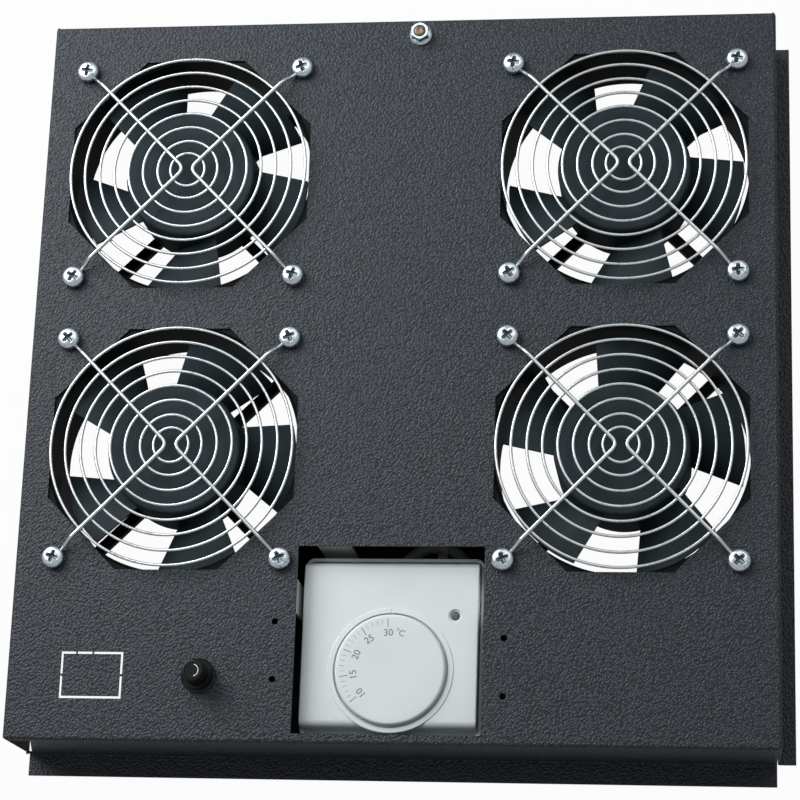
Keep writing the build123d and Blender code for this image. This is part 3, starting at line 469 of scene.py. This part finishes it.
def surface_piece(name, grids, body, slot, sharp=35.0, weld=0.000002, recess_shade=None):
    """One object from several grids, each as (points, ring_rows, ring_columns), riding on a body.

    Its recess shade values, one for each point, tell the finish where to paint a shade over a sunk place.
    """
    points, quads, start = [], [], 0
    for grid, ring_rows, ring_columns in grids:
        rows, columns = grid.shape[:2]
        points.append(grid.reshape(-1, 3))
        quads.append(grid_quads(rows, columns, ring_rows, ring_columns) + start)
        start += rows * columns
    mesh = bpy.data.meshes.new(name)
    mesh.from_pydata(np.concatenate(points).tolist(), [], np.concatenate(quads).tolist())
    shape = bmesh.new()
    shape.from_mesh(mesh)
    # The painted recess shade is stored on each point for the finish to read.
    if recess_shade is not None:
        layer = shape.verts.layers.float.new("recess_shade")
        for vertex, value in zip(shape.verts, recess_shade):
            vertex[layer] = value
    bmesh.ops.remove_doubles(shape, verts=shape.verts, dist=weld)
    bmesh.ops.recalc_face_normals(shape, faces=shape.faces)
    shape.to_mesh(mesh)
    shape.free()
    mesh.shade_smooth()
    mesh.set_sharp_from_angle(angle=math.radians(sharp))
    mesh.materials.append(finishes[slot])
    piece = bpy.data.objects.new(name, mesh)
    bpy.context.scene.collection.objects.link(piece)
    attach(piece, body)
    return piece


def turned_grid(radius, height, columns):
    """A profile turned about the Z axis. Radius and height are arrays along the profile."""
    angle = np.arange(columns) * 2 * np.pi / columns
    x = radius[:, None] * np.cos(angle)
    y = radius[:, None] * np.sin(angle)
    z = np.broadcast_to(height[:, None], x.shape)
    return np.stack([x, y, z], axis=-1)


def wire_ring(radius, wire, centre, columns=144, around=16):
    """A round wire bent into a circle: a torus about Z, as (points, ring_rows, ring_columns)."""
    turn_angle = np.arange(columns)[:, None] * 2 * np.pi / columns
    wire_angle = np.arange(around)[None, :] * 2 * np.pi / around
    reach = radius + wire / 2 * np.cos(wire_angle)
    x = centre[0] + reach * np.cos(turn_angle)
    y = centre[1] + reach * np.sin(turn_angle)
    z = centre[2] + wire / 2 * np.sin(wire_angle) + 0 * turn_angle
    return np.stack([x, y, z], axis=-1), True, True


def rounded_path(points, cuts, steps=9):
    """A run of straight lines whose corners are parabolas, each starting its cut before the corner."""
    points = np.array(points, float)
    share = np.linspace(0, 1, steps)[:, None]
    path = [points[:1]]
    for before, corner, after, cut in zip(points, points[1:], points[2:], cuts):
        start = corner + cut * (before - corner) / np.linalg.norm(before - corner)
        end = corner + cut * (after - corner) / np.linalg.norm(after - corner)
        path.append((1 - share) ** 2 * start + 2 * share * (1 - share) * corner + share ** 2 * end)
    path.append(points[-1:])
    return np.concatenate(path)


def wire_along(path, wire, side, around=16):
    """A round wire carried along a path, its section spanned by a side direction and the normal to both."""
    along = np.gradient(path, axis=0)
    along /= np.linalg.norm(along, axis=1)[:, None]
    across = np.cross(along, side)
    across /= np.linalg.norm(across, axis=1)[:, None]
    up = np.cross(across, along)
    angle = np.arange(around)[None, :, None] * 2 * np.pi / around
    grid = path[:, None] + wire / 2 * (np.cos(angle) * across[:, None] + np.sin(angle) * up[:, None])
    ends = np.repeat(path[[0, -1], None], around, axis=1)
    return np.concatenate([ends[:1], grid, ends[1:]]), False, True


# %% [markdown]
# A finger guard is eight rings of thin wire spot-welded under two thicker wires. Each thick wire starts in
# an eye under one screw, rises to the rings, turns back near the middle in a wide V and ends in the next
# eye. The rings are tori. The thick wires are a round section carried along a path with rounded corners.

# %% Wire guards
PLATE_TOP = 44.45 * MM
RING_RADII = np.array([8.2, 14.4, 21.5, 28.5, 35.4, 42.4, 49.6, 56.5]) * MM
RING_WIRE = 1.4 * MM
RIB_WIRE = 1.8 * MM
RING_LEVEL = PLATE_TOP + 4.6 * MM
RIB_LEVEL = RING_LEVEL + (RING_WIRE + RIB_WIRE) / 2 - 0.25 * MM
EYE_LEVEL = PLATE_TOP + RIB_WIRE / 2
EYE_RADIUS = 3.2 * MM
EYE_COLUMNS = 40
HOLE_HALF = 52.4 * MM
DIAGONAL = math.sqrt(0.5)
RIB_FOOT = 69.4 * MM
RIB_KNEE = 62.0 * MM
RIB_APEX = 3.0 * MM
APEX_BEND = 4.0 * MM
RIB_CUTS = [1.0 * MM, 2.0 * MM, 4.0 * MM, 2.0 * MM, 1.0 * MM]


def guard_rib(centre, side):
    """One V-bent wire on the left (side -1) or the right (side 1) of a fan."""
    edge = HOLE_HALF - EYE_RADIUS * DIAGONAL
    foot = RIB_FOOT * DIAGONAL
    knee = RIB_KNEE * DIAGONAL
    apex = RIB_APEX - APEX_BEND * (math.sqrt(2) - 1)
    half = [(edge, edge, EYE_LEVEL), (foot, foot, EYE_LEVEL), (knee, knee, RIB_LEVEL), (apex, 0.0, RIB_LEVEL)]
    other = [(x, -y, z) for x, y, z in reversed(half[:-1])]
    path = rounded_path(half + other, RIB_CUTS)
    path = path * (side, 1, 1) + (centre[0], centre[1], 0)
    return wire_along(path, RIB_WIRE, np.array([0.0, 0.0, 1.0]))


def fan_centre(number):
    """The middle of a fan, from its shaft's box."""
    low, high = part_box(f"fan_{number}_shaft")
    return (low + high) / 2


def wire_guard(number):
    """Rings, V-bent wires and eyes of one guard as a single welded piece."""
    centre = fan_centre(number)
    grids = [wire_ring(r, RING_WIRE, (centre.x, centre.y, RING_LEVEL)) for r in RING_RADII]
    grids += [guard_rib(centre, side) for side in (-1, 1)]
    for sx in (-1, 1):
        for sy in (-1, 1):
            eye = (centre.x + sx * HOLE_HALF, centre.y + sy * HOLE_HALF, EYE_LEVEL)
            grids.append(wire_ring(EYE_RADIUS, RIB_WIRE, eye, columns=EYE_COLUMNS))
    guard = surface_piece(f"fan_{number}_wire_guard", grids, "tray", "guard_chrome")
    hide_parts(f"fan_{number}_guard")
    return guard


for number in FANS:
    wire_guard(number)
print("guards", len(FANS), "rings each", len(RING_RADII))

# %% [markdown]
# A guard screw has a pan head with a cross recess and an M4 thread. The whole screw is one turned surface.
# The recess is cut by lowering the head's points where they fall inside a cross, and the thread is a wave
# in the radius that climbs one pitch for each turn. The recess's depth also sets a painted shade in its
# colour.

# %% Guard screws
SCREW_COLUMNS = 96
HEAD_ROWS = 40
SHANK_ROWS = 64
HEAD_RADIUS = 5.3 * MM
HEAD_HEIGHT = 2.9 * MM
SHANK_RADIUS = 2.0 * MM
TIP_RADIUS = 1.5 * MM
TIP_CHAMFER = 0.4 * MM
THREAD_PITCH = 0.7 * MM
THREAD_DEPTH = 0.35 * MM
RECESS_HALF_WIDTH = 0.60 * MM
RECESS_REACH = 2.60 * MM
RECESS_SLOPE = 0.30 * MM
RECESS_DEPTH = 1.7 * MM
RECESS_RISE = 0.42
RECESS_FULL_SHADE = 0.7 * MM


def inside(distance, half, slope):
    """1 where a distance is under the half width, falling to 0 over the slope."""
    return np.clip((half + slope - np.abs(distance)) / slope, 0, 1)


def cross_recess(x, y):
    """Depth of a cross recess: two crossed slots, deepest at the middle."""
    width, reach, slope = RECESS_HALF_WIDTH, RECESS_REACH, RECESS_SLOPE
    slot = np.maximum(inside(y, width, slope) * inside(x, reach, slope * 1.6),
                      inside(x, width, slope) * inside(y, reach, slope * 1.6))
    radius = np.hypot(x, y)
    return slot * (RECESS_DEPTH - RECESS_RISE * radius)


def threaded(grid, low, high):
    """Lower the radius by a saw wave of height and angle, between two heights."""
    x, y, z = grid[..., 0], grid[..., 1], grid[..., 2]
    turn_share = np.arctan2(y, x) / (2 * np.pi)
    phase = (z / THREAD_PITCH - turn_share) % 1.0
    groove = THREAD_DEPTH * np.abs(2 * phase - 1)
    radius = np.hypot(x, y)
    on_shank = (z > low) & (z < high) & (radius > 0.9 * SHANK_RADIUS)
    share = np.where(on_shank, 1 - groove / np.maximum(radius, 1e-9), 1.0)
    return np.stack([x * share, y * share, z], axis=-1)


def pan_screw_grid(seat, tip, turned):
    """A screw about Z, with its painted recess shade values: a superellipse head, the shank and a chamfered
    tip.
    """
    share = np.linspace(0, 1, HEAD_ROWS)
    head_r = HEAD_RADIUS * np.sin(share * np.pi / 2) ** 0.9
    head_z = seat + HEAD_HEIGHT * np.clip(1 - (head_r / HEAD_RADIUS) ** 3.4, 0, 1) ** 0.45
    shank_z = np.linspace(seat, tip + TIP_CHAMFER, SHANK_ROWS)
    radius = np.concatenate([head_r, np.full(SHANK_ROWS, SHANK_RADIUS), [TIP_RADIUS, 0.0]])
    height = np.concatenate([head_z, shank_z, [tip, tip]])
    grid = turned_grid(radius, height, SCREW_COLUMNS)
    grid = threaded(grid, tip, seat - 0.2 * MM)
    on_head = grid[..., 2] > seat + 0.3 * MM
    depth = np.where(on_head, cross_recess(grid[..., 0], grid[..., 1]), 0.0)
    grid[..., 2] -= depth
    # Painted shade: the deeper a point lies in the cross recess, the darker it is painted.
    recess_shade = np.clip(depth / RECESS_FULL_SHADE, 0, 1)
    turn_x, turn_y = math.cos(turned), math.sin(turned)
    x, y = grid[..., 0].copy(), grid[..., 1].copy()
    grid[..., 0] = x * turn_x - y * turn_y
    grid[..., 1] = x * turn_y + y * turn_x
    return grid, recess_shade


def guard_screws(number, angles):
    """The four screws of one guard, each left at its own angle."""
    low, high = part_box(f"fan_{number}_guard_screws")
    centre = (low + high) / 2
    seat = high.z - HEAD_HEIGHT
    grids, recess_shades = [], []
    places = [(sx, sy) for sx in (-1, 1) for sy in (-1, 1)]
    for (sx, sy), angle in zip(places, angles):
        grid, recess_shade = pan_screw_grid(seat, low.z, angle)
        grid += (centre.x + sx * HOLE_HALF, centre.y + sy * HOLE_HALF, 0)
        grids.append((grid, False, True))
        recess_shades.append(recess_shade.ravel())
    screws = surface_piece(f"fan_{number}_pan_screws", grids, "tray", "screw_zinc", sharp=30.0,
                           recess_shade=np.concatenate(recess_shades))
    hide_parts(f"fan_{number}_guard_screws")
    return screws


TURN_SEED = 7
turn_source = np.random.default_rng(TURN_SEED)
for number in FANS:
    guard_screws(number, turn_source.uniform(0, math.pi / 2, 4))
print("screws", 4 * len(FANS))

# %% [markdown]
# The earth stud is an M5 screw that stands up through its flange nut. Its end is a shallow dome with a
# turned ring in it, and it has dulled to a brownish grey. The nut has a chamfered hexagon, a countersunk
# bore and a sloping flange.

# %% Earth stud
STUD_COLUMNS = 144
STUD_RADIUS = 2.5 * MM
STUD_HEAD_HALF = 4.0 * MM
STUD_HEAD_TOP = 43.25 * MM
STUD_ROWS = 60
# The stud's end from its rim to its middle: radius, and drop below the top
STUD_END_RADII = np.array([2.2, 1.95, 1.75, 1.5, 1.35, 0.9, 0.4, 0.0]) * MM
STUD_END_DROPS = np.array([0.2, 0.08, 0.02, 0.05, 0.35, 0.42, 0.5, 0.52]) * MM
NUT_BORE_GAP = 0.02 * MM
NUT_CHAMFER_SLOPE = 1.7
NUT_CHAMFER_ROWS = 24


def hexagon_reach(half_flats):
    """Distance from the middle to a hexagon's side, for each column."""
    angle = np.arange(STUD_COLUMNS) * 2 * np.pi / STUD_COLUMNS
    corner = (angle + np.pi / 6) % (np.pi / 3) - np.pi / 6
    return half_flats / np.cos(corner)


def stud_grid(centre, low, high, head_top):
    """Hexagon head under the plate, then the threaded shank and its domed, ringed end."""
    angle = np.arange(STUD_COLUMNS) * 2 * np.pi / STUD_COLUMNS
    hexagon = hexagon_reach(STUD_HEAD_HALF)
    head = [(0.0, low), (0.97, low), (1.0, low + 0.2 * MM), (1.0, head_top)]
    head_rows = [np.stack([s * hexagon * np.cos(angle), s * hexagon * np.sin(angle),
                           np.full(STUD_COLUMNS, z)], axis=-1) for s, z in head]
    shank_z = np.linspace(head_top, high - 0.45 * MM, STUD_ROWS)
    radius = np.concatenate([np.full(STUD_ROWS, STUD_RADIUS), STUD_END_RADII])
    height = np.concatenate([shank_z, high - STUD_END_DROPS])
    shank = threaded(turned_grid(radius, height, STUD_COLUMNS), head_top + 1.3 * MM, high - 0.5 * MM)
    return np.concatenate([np.array(head_rows), shank]) + (centre.x, centre.y, 0)


def flange_nut_grid(centre, low, high, flange):
    """Flange and cone, a hexagon cut by a chamfer cone, a countersink and the bore, closed on itself."""
    angle = np.arange(STUD_COLUMNS) * 2 * np.pi / STUD_COLUMNS
    bore = STUD_RADIUS + NUT_BORE_GAP
    round_r = np.array([bore, flange - 0.2 * MM, flange, flange, STUD_HEAD_HALF * 1.09])
    round_z = np.array([low, low, low + 0.2 * MM, low + 0.8 * MM, low + 1.7 * MM])
    rows = [np.full(STUD_COLUMNS, r) for r in round_r]
    levels = list(round_z)
    for level in np.linspace(low + 1.75 * MM, high, NUT_CHAMFER_ROWS):
        chamfer = STUD_HEAD_HALF + (high - level) * NUT_CHAMFER_SLOPE
        rows.append(np.minimum(hexagon_reach(STUD_HEAD_HALF), chamfer))
        levels.append(level)
    inner = [(3.05 * MM, high), (2.95 * MM, high - 0.05 * MM), (bore, high - 0.55 * MM)]
    for radius, level in inner:
        rows.append(np.full(STUD_COLUMNS, radius))
        levels.append(level)
    radius = np.array(rows)
    height = np.broadcast_to(np.array(levels)[:, None], radius.shape)
    grid = np.stack([radius * np.cos(angle), radius * np.sin(angle), height], axis=-1)
    return grid + (centre.x, centre.y, 0)


stud_low, stud_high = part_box("earth_stud")
stud_centre = (stud_low + stud_high) / 2
stud_surface = stud_grid(stud_centre, stud_low.z, stud_high.z, STUD_HEAD_TOP)
stud = surface_piece("earth_stud_threaded", [(stud_surface, False, True)], "tray", "stud_steel", sharp=30.0)
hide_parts("earth_stud")
nut_low, nut_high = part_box("earth_nut")
nut_surface = flange_nut_grid(stud_centre, nut_low.z, nut_high.z, (nut_high.x - nut_low.x) / 2)
nut = surface_piece("earth_flange_nut", [(nut_surface, True, True)], "tray", "screw_zinc", sharp=25.0)
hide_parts("earth_nut")
print("earth stud", round(stud_high.z / MM, 2), "nut", round(nut_high.z / MM, 2))

# %% [markdown]
# The fuse holder's cap is gripped with two fingers and turned, so its side is finely fluted. A turned
# profile carries the flutes as a wave in the radius that fades out towards the smooth top.

# %% Fuse cap
CAP_FLUTES = 30
CAP_COLUMNS = 240
CAP_SIDE_ROWS = 20
CAP_FOOT_RADIUS = 5.3 * MM
CAP_DRAFT = 0.5 * MM
CAP_EDGE_HEIGHT = 0.9 * MM
CAP_EDGE_WIDTH = 0.8 * MM
CAP_FLUTE_DEPTH = 0.14 * MM
SOCKET_RADIUS = 4.03 * MM
SOCKET_DEPTH = 4.3 * MM
# The dished top from its rim to its middle: radius, and drop below the rim
DISH_RADII = np.array([3.6, 3.4, 2.6, 1.3, 0.0]) * MM
DISH_DROPS = np.array([0.0, 0.25, 0.32, 0.34, 0.35]) * MM


def fuse_cap_grid(low, high):
    """Fluted side, rounded edge, dished top, and a socket bored from below."""
    side_z = np.linspace(low, high - CAP_EDGE_HEIGHT, CAP_SIDE_ROWS)
    share = (side_z - low) / (high - low)
    side_r = CAP_FOOT_RADIUS - CAP_DRAFT * share
    edge = np.linspace(0, np.pi / 2, 7)
    edge_r = side_r[-1] - CAP_EDGE_WIDTH * (1 - np.cos(edge))
    edge_z = side_z[-1] + CAP_EDGE_HEIGHT * np.sin(edge)
    socket_r = np.array([0.0, SOCKET_RADIUS, SOCKET_RADIUS])
    socket_z = np.array([SOCKET_DEPTH + low, SOCKET_DEPTH + low, low])
    radius = np.concatenate([socket_r, side_r, edge_r, DISH_RADII])
    height = np.concatenate([socket_z, side_z, edge_z, high - DISH_DROPS])
    grid = turned_grid(radius, height, CAP_COLUMNS)
    angle = np.arange(CAP_COLUMNS) * 2 * np.pi / CAP_COLUMNS
    wave = CAP_FLUTE_DEPTH * (np.cos(CAP_FLUTES * angle) - 1) / 2
    first = len(socket_r) + 2
    last = len(socket_r) + len(side_z) + 2
    flat = np.hypot(grid[..., 0], grid[..., 1])
    fluted = np.zeros(len(radius))
    fluted[first:last] = 1.0
    share = 1 + fluted[:, None] * wave[None, :] / np.maximum(flat, 1e-9)
    grid[..., :2] *= share[..., None]
    return grid


cap_low, cap_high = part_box("fuse_cap")
cap_centre = (cap_low + cap_high) / 2
cap_grid = fuse_cap_grid(cap_low.z, cap_high.z) + (cap_centre.x, cap_centre.y, 0)
cap = surface_piece("fuse_cap_fluted", [(cap_grid, False, True)], "fuse_cap_body", "fuse_plastic")
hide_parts("fuse_cap")
print("fuse cap", round((cap_high.z - cap_low.z) / MM, 2), "mm tall")

# %% [markdown]
# The pan under the thermostat is folded from black sheet. Its section is a strip of sheet along a line with
# round bends: flange, wall, floor, wall and flange. The tongue and the front lip are two more strips.

# %% Pan
PAN_SHEET = 1.0 * MM
PAN_BEND = 1.6 * MM
PAN_WALL_HALF = 56.0 * MM
PAN_WIDE_END = -98.465 * MM
PAN_TONGUE_HALF = 46.0 * MM
PAN_TONGUE_RISE = 2.5 * MM
PAN_LIP = 3.0 * MM


def sheet_strip(path, across, half_length):
    """A strip of sheet along a path: four corners at each point, half a sheet up and half a length across."""
    along = np.gradient(path, axis=0)
    along /= np.linalg.norm(along, axis=1)[:, None]
    normal = np.cross(across, along)
    corners = ((1, 1), (1, -1), (-1, -1), (-1, 1))
    edges = [path + up * normal * PAN_SHEET / 2 + side * across * half_length for up, side in corners]
    grid = np.stack(edges, axis=1)
    ends = np.repeat(path[[0, -1], None], len(corners), axis=1)
    return np.concatenate([ends[:1], grid, ends[1:]]), False, True


def pan_grids(low, high):
    """The pan's three strips, placed in its box."""
    half_sheet = PAN_SHEET / 2
    middle_x = (low.x + high.x) / 2
    wide_y = (low.y + PAN_WIDE_END) / 2
    wall = PAN_WALL_HALF - half_sheet
    floor_z = low.z + half_sheet
    top_z = high.z - half_sheet
    section = [(low.x - middle_x, wide_y, top_z), (-wall, wide_y, top_z), (-wall, wide_y, floor_z),
               (wall, wide_y, floor_z), (wall, wide_y, top_z), (high.x - middle_x, wide_y, top_z)]
    wide = rounded_path(section, [PAN_BEND] * 4) + (middle_x, 0, 0)
    tongue = rounded_path([(0, PAN_WIDE_END - PAN_SHEET, floor_z), (0, high.y - half_sheet, floor_z),
                           (0, high.y - half_sheet, floor_z + PAN_TONGUE_RISE)], [PAN_BEND])
    lip = np.array([(middle_x, low.y + half_sheet, floor_z + z) for z in np.linspace(0, PAN_LIP, 5)])
    return [sheet_strip(wide, np.array([0.0, 1.0, 0.0]), (PAN_WIDE_END - low.y) / 2),
            sheet_strip(tongue, np.array([1.0, 0.0, 0.0]), PAN_TONGUE_HALF),
            sheet_strip(lip, np.array([1.0, 0.0, 0.0]), wall)]


pan_low, pan_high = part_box("thermostat_pan")
pan = surface_piece("folded_pan", pan_grids(pan_low, pan_high), "tray", "pan_black", sharp=30.0)
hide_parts("thermostat_pan")
print("pan", round((pan_high.x - pan_low.x) / MM, 1), "mm wide")

# %% [markdown]
# The thermostat's cover hides the base's rim on the left and most of it at the rear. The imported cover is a
# little short there, so a copy of its mesh is merged and its left and rear sides are set further out.

# %% Cover
COVER_SIDE = 4.0 * MM
COVER_LEFT_REACH = 1.7 * MM
COVER_REAR_REACH = 1.0 * MM
MERGE_DISTANCE = 0.000002


def wider_cover():
    """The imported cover, with every point near its left or rear side moved out by that side's reach."""
    low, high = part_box("thermostat_cover")
    mesh = bpy.data.meshes.new("wide_cover")
    shape = bmesh.new()
    shape.from_mesh(nodes["thermostat_cover"].data)
    bmesh.ops.remove_doubles(shape, verts=shape.verts, dist=MERGE_DISTANCE)
    shape.to_mesh(mesh)
    shape.free()
    points = np.empty(3 * len(mesh.vertices), dtype=np.float32)
    mesh.vertices.foreach_get("co", points)
    points = points.reshape(-1, 3)
    points[:, 0] -= np.where(points[:, 0] < low.x + COVER_SIDE, COVER_LEFT_REACH, 0)
    points[:, 1] += np.where(points[:, 1] > high.y - COVER_SIDE, COVER_REAR_REACH, 0)
    mesh.vertices.foreach_set("co", points.ravel())
    mesh.update()
    mesh.shade_flat()
    mesh.materials.clear()
    mesh.materials.append(finishes["thermostat_plastic"])
    piece = bpy.data.objects.new("wide_cover", mesh)
    bpy.context.scene.collection.objects.link(piece)
    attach(piece, "tray")
    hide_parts("thermostat_cover")
    return piece


cover = wider_cover()
print("cover points", len(cover.data.vertices))

# %% [markdown]
# The dial is a moulded disc with a softly rounded rim. It is one turned profile: up the skirt, round the
# rim, across the top and down the boss that grips the spindle.

# %% Dial
DIAL_COLUMNS = 240
RIM_ROUND = 1.3 * MM
RIM_DRAFT = 0.25 * MM
DOME_DROP = 0.01 * MM
BOSS_RADIUS = 5.0 * MM
BORE_RADIUS = 3.0 * MM
BOSS_LENGTH = 3.0 * MM


def dial_grid(low, high, outer):
    """Half profile of the dial from the bore round the boss, under the skirt and over the rim."""
    skirt_low = low + BOSS_LENGTH
    under = np.array([(0.0, skirt_low), (BORE_RADIUS, skirt_low), (BORE_RADIUS, low), (BOSS_RADIUS, low),
                      (BOSS_RADIUS, skirt_low), (outer - 0.2 * MM, skirt_low), (outer, skirt_low + 0.2 * MM)])
    turn_angle = np.linspace(0, np.pi / 2, 12)
    rim_r = outer - RIM_ROUND * (1 - np.cos(turn_angle)) - RIM_DRAFT
    rim_z = high - DOME_DROP - RIM_ROUND * (1 - np.sin(turn_angle))
    top_share = np.linspace(1, 0, 12)[1:]
    top_r = rim_r[-1] * top_share
    top_z = high - DOME_DROP * top_share ** 2
    radius = np.concatenate([under[:, 0], rim_r, top_r])
    height = np.concatenate([under[:, 1], rim_z, top_z])
    return turned_grid(radius, height, DIAL_COLUMNS)


dial_low, dial_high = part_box("thermostat_dial")
dial_middle = (dial_low + dial_high) / 2
dial_surface = dial_grid(dial_low.z, dial_high.z, (dial_high.x - dial_low.x) / 2)
dial_surface = dial_surface + (dial_middle.x, dial_middle.y, 0)
dial = surface_piece("dial_disc", [(dial_surface, False, True)], "dial", "dial_plastic", sharp=40.0)
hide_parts("thermostat_dial")
print("dial", round((dial_high.x - dial_low.x) / MM, 1), "mm wide")

# %% [markdown]
# The dial is printed in grey: a mark for each degree, a longer mark for each five, and their numbers. The
# ink is a real layer, a few hundredths of a millimetre thick, and it rides on the dial so that it turns
# with it.


# %% Printed marks
def ink(name, colour):
    """Printing ink that thins out a little here and there."""
    material, tree, shader = base_material(name, colour, 0.5, specular=0.3)
    where = object_space(tree)
    cloud = grain(tree, where, 0.0009, 3.0)
    paler = tuple(min(1.0, 1.25 * channel) for channel in colour)
    tree.links.new(ramp(tree, cloud, [(0.35, paler), (0.6, colour)]), shader.inputs["Base Color"])
    bump(tree, cloud, 0.00002, 0.2, shader)
    return material


INK_THICKNESS = 0.03 * MM
finishes["dial_ink"] = ink("dial_ink", (0.16, 0.17, 0.175))
finishes["white_ink"] = ink("white_ink", (0.75, 0.76, 0.77))


def flat_piece(name, outline_mesh, body, ink_name):
    """Give a flat mesh its thickness, its ink and the body it rides on."""
    outline_mesh.materials.clear()
    outline_mesh.materials.append(finishes[ink_name])
    piece = bpy.data.objects.new(name, outline_mesh)
    bpy.context.scene.collection.objects.link(piece)
    thicken = piece.modifiers.new("thickness", "SOLIDIFY")
    thicken.thickness = INK_THICKNESS
    thicken.offset = 1.0
    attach(piece, body)
    return piece


def arc_patch(centre, level, inner, outer, start, end, steps):
    """A flat patch between two radii and two angles, as a grid of points."""
    angle = np.linspace(start, end, steps)
    radius = np.array([inner, outer])
    x = centre[0] + radius[:, None] * np.cos(angle)
    y = centre[1] + radius[:, None] * np.sin(angle)
    return np.stack([x, y, np.full_like(x, level)], axis=-1)


def patches_mesh(name, patches):
    """Flat patches as one mesh whose faces look up."""
    points, quads, start = [], [], 0
    for patch in patches:
        rows, columns = patch.shape[:2]
        points.append(patch.reshape(-1, 3))
        quads.append(grid_quads(rows, columns, False, False)[:, ::-1] + start)
        start += rows * columns
    mesh = bpy.data.meshes.new(name)
    mesh.from_pydata(np.concatenate(points).tolist(), [], np.concatenate(quads).tolist())
    return mesh


dial_centre = dial_middle.xy
MARK_LEVEL = dial_high.z + INK_THICKNESS * 0.1
HOT_ANGLE = 94.0
MARKS_PER_NUMBER = 5
DEGREES_PER_MARK = 31.7 / MARKS_PER_NUMBER
MARK_COUNT = 21
MARK_OUTER = 22.9 * MM
LONG_MARK = 3.8 * MM
SHORT_MARK = 2.3 * MM
LONG_MARK_HALF = 0.19 * MM
SHORT_MARK_HALF = 0.08 * MM


def scale_marks():
    """Ticks from 10 to 30 degrees, each a narrow patch along a radius."""
    patches = []
    for step in range(MARK_COUNT):
        angle = math.radians(HOT_ANGLE + step * DEGREES_PER_MARK)
        major = step % MARKS_PER_NUMBER == 0
        length = LONG_MARK if major else SHORT_MARK
        half_width = (LONG_MARK_HALF if major else SHORT_MARK_HALF) / MARK_OUTER
        patches.append(arc_patch(dial_centre, MARK_LEVEL, MARK_OUTER - length, MARK_OUTER,
                                 angle + half_width, angle - half_width, 2))
    return patches_mesh("scale_marks", patches)


flat_piece("dial_scale_marks", scale_marks(), "dial", "dial_ink")


def number_mesh(text, size, place, tilt, level):
    """A word as a flat mesh, centred on its place and tilted about Z."""
    curve = bpy.data.curves.new("number", "FONT")
    curve.body = text
    curve.size = size
    curve.align_x = "CENTER"
    curve.align_y = "CENTER"
    holder = bpy.data.objects.new("number", curve)
    bpy.context.scene.collection.objects.link(holder)
    bpy.context.view_layer.update()
    mesh = bpy.data.meshes.new_from_object(holder.evaluated_get(bpy.context.evaluated_depsgraph_get()))
    bpy.data.objects.remove(holder)
    mesh.transform(Matrix.Translation((place[0], place[1], level)) @ Matrix.Rotation(tilt, 4, "Z"))
    return mesh


NUMBERS = (30, 25, 20, 15, 10)
NUMBER_RADIUS = 16.5 * MM
NUMBER_SIZE = 4.4 * MM
UNIT_SIZE = 4.0 * MM
UNIT_PLACE = Vector((4.2, 16.5)) * MM
UNIT_TILT = -0.35
for index, degrees in enumerate(NUMBERS):
    angle = math.radians(HOT_ANGLE + index * MARKS_PER_NUMBER * DEGREES_PER_MARK)
    place = dial_centre + NUMBER_RADIUS * Vector((math.cos(angle), math.sin(angle)))
    mesh = number_mesh(str(degrees), NUMBER_SIZE, place, angle - math.pi / 2, MARK_LEVEL)
    flat_piece(f"dial_number_{degrees}", mesh, "dial", "dial_ink")
unit_mesh = number_mesh("°C", UNIT_SIZE, dial_centre + UNIT_PLACE, UNIT_TILT, MARK_LEVEL)
flat_piece("dial_unit", unit_mesh, "dial", "dial_ink")

ARC_DROP = 0.3 * MM
ARC_INNER = 2.5 * MM
ARC_OUTER = 2.95 * MM
ARC_HALF_ANGLE = math.radians(75)
ARC_STEPS = 24
cap_arc = arc_patch(cap_centre.xy, cap_high.z - ARC_DROP, ARC_INNER, ARC_OUTER,
                    ARC_HALF_ANGLE, -ARC_HALF_ANGLE, ARC_STEPS)
cap_arc_mesh = patches_mesh("fuse_cap_arc", [cap_arc])
flat_piece("fuse_cap_arc", cap_arc_mesh, "fuse_cap_body", "white_ink")
print("dial marks", MARK_COUNT, "and", len(NUMBERS), "numbers")
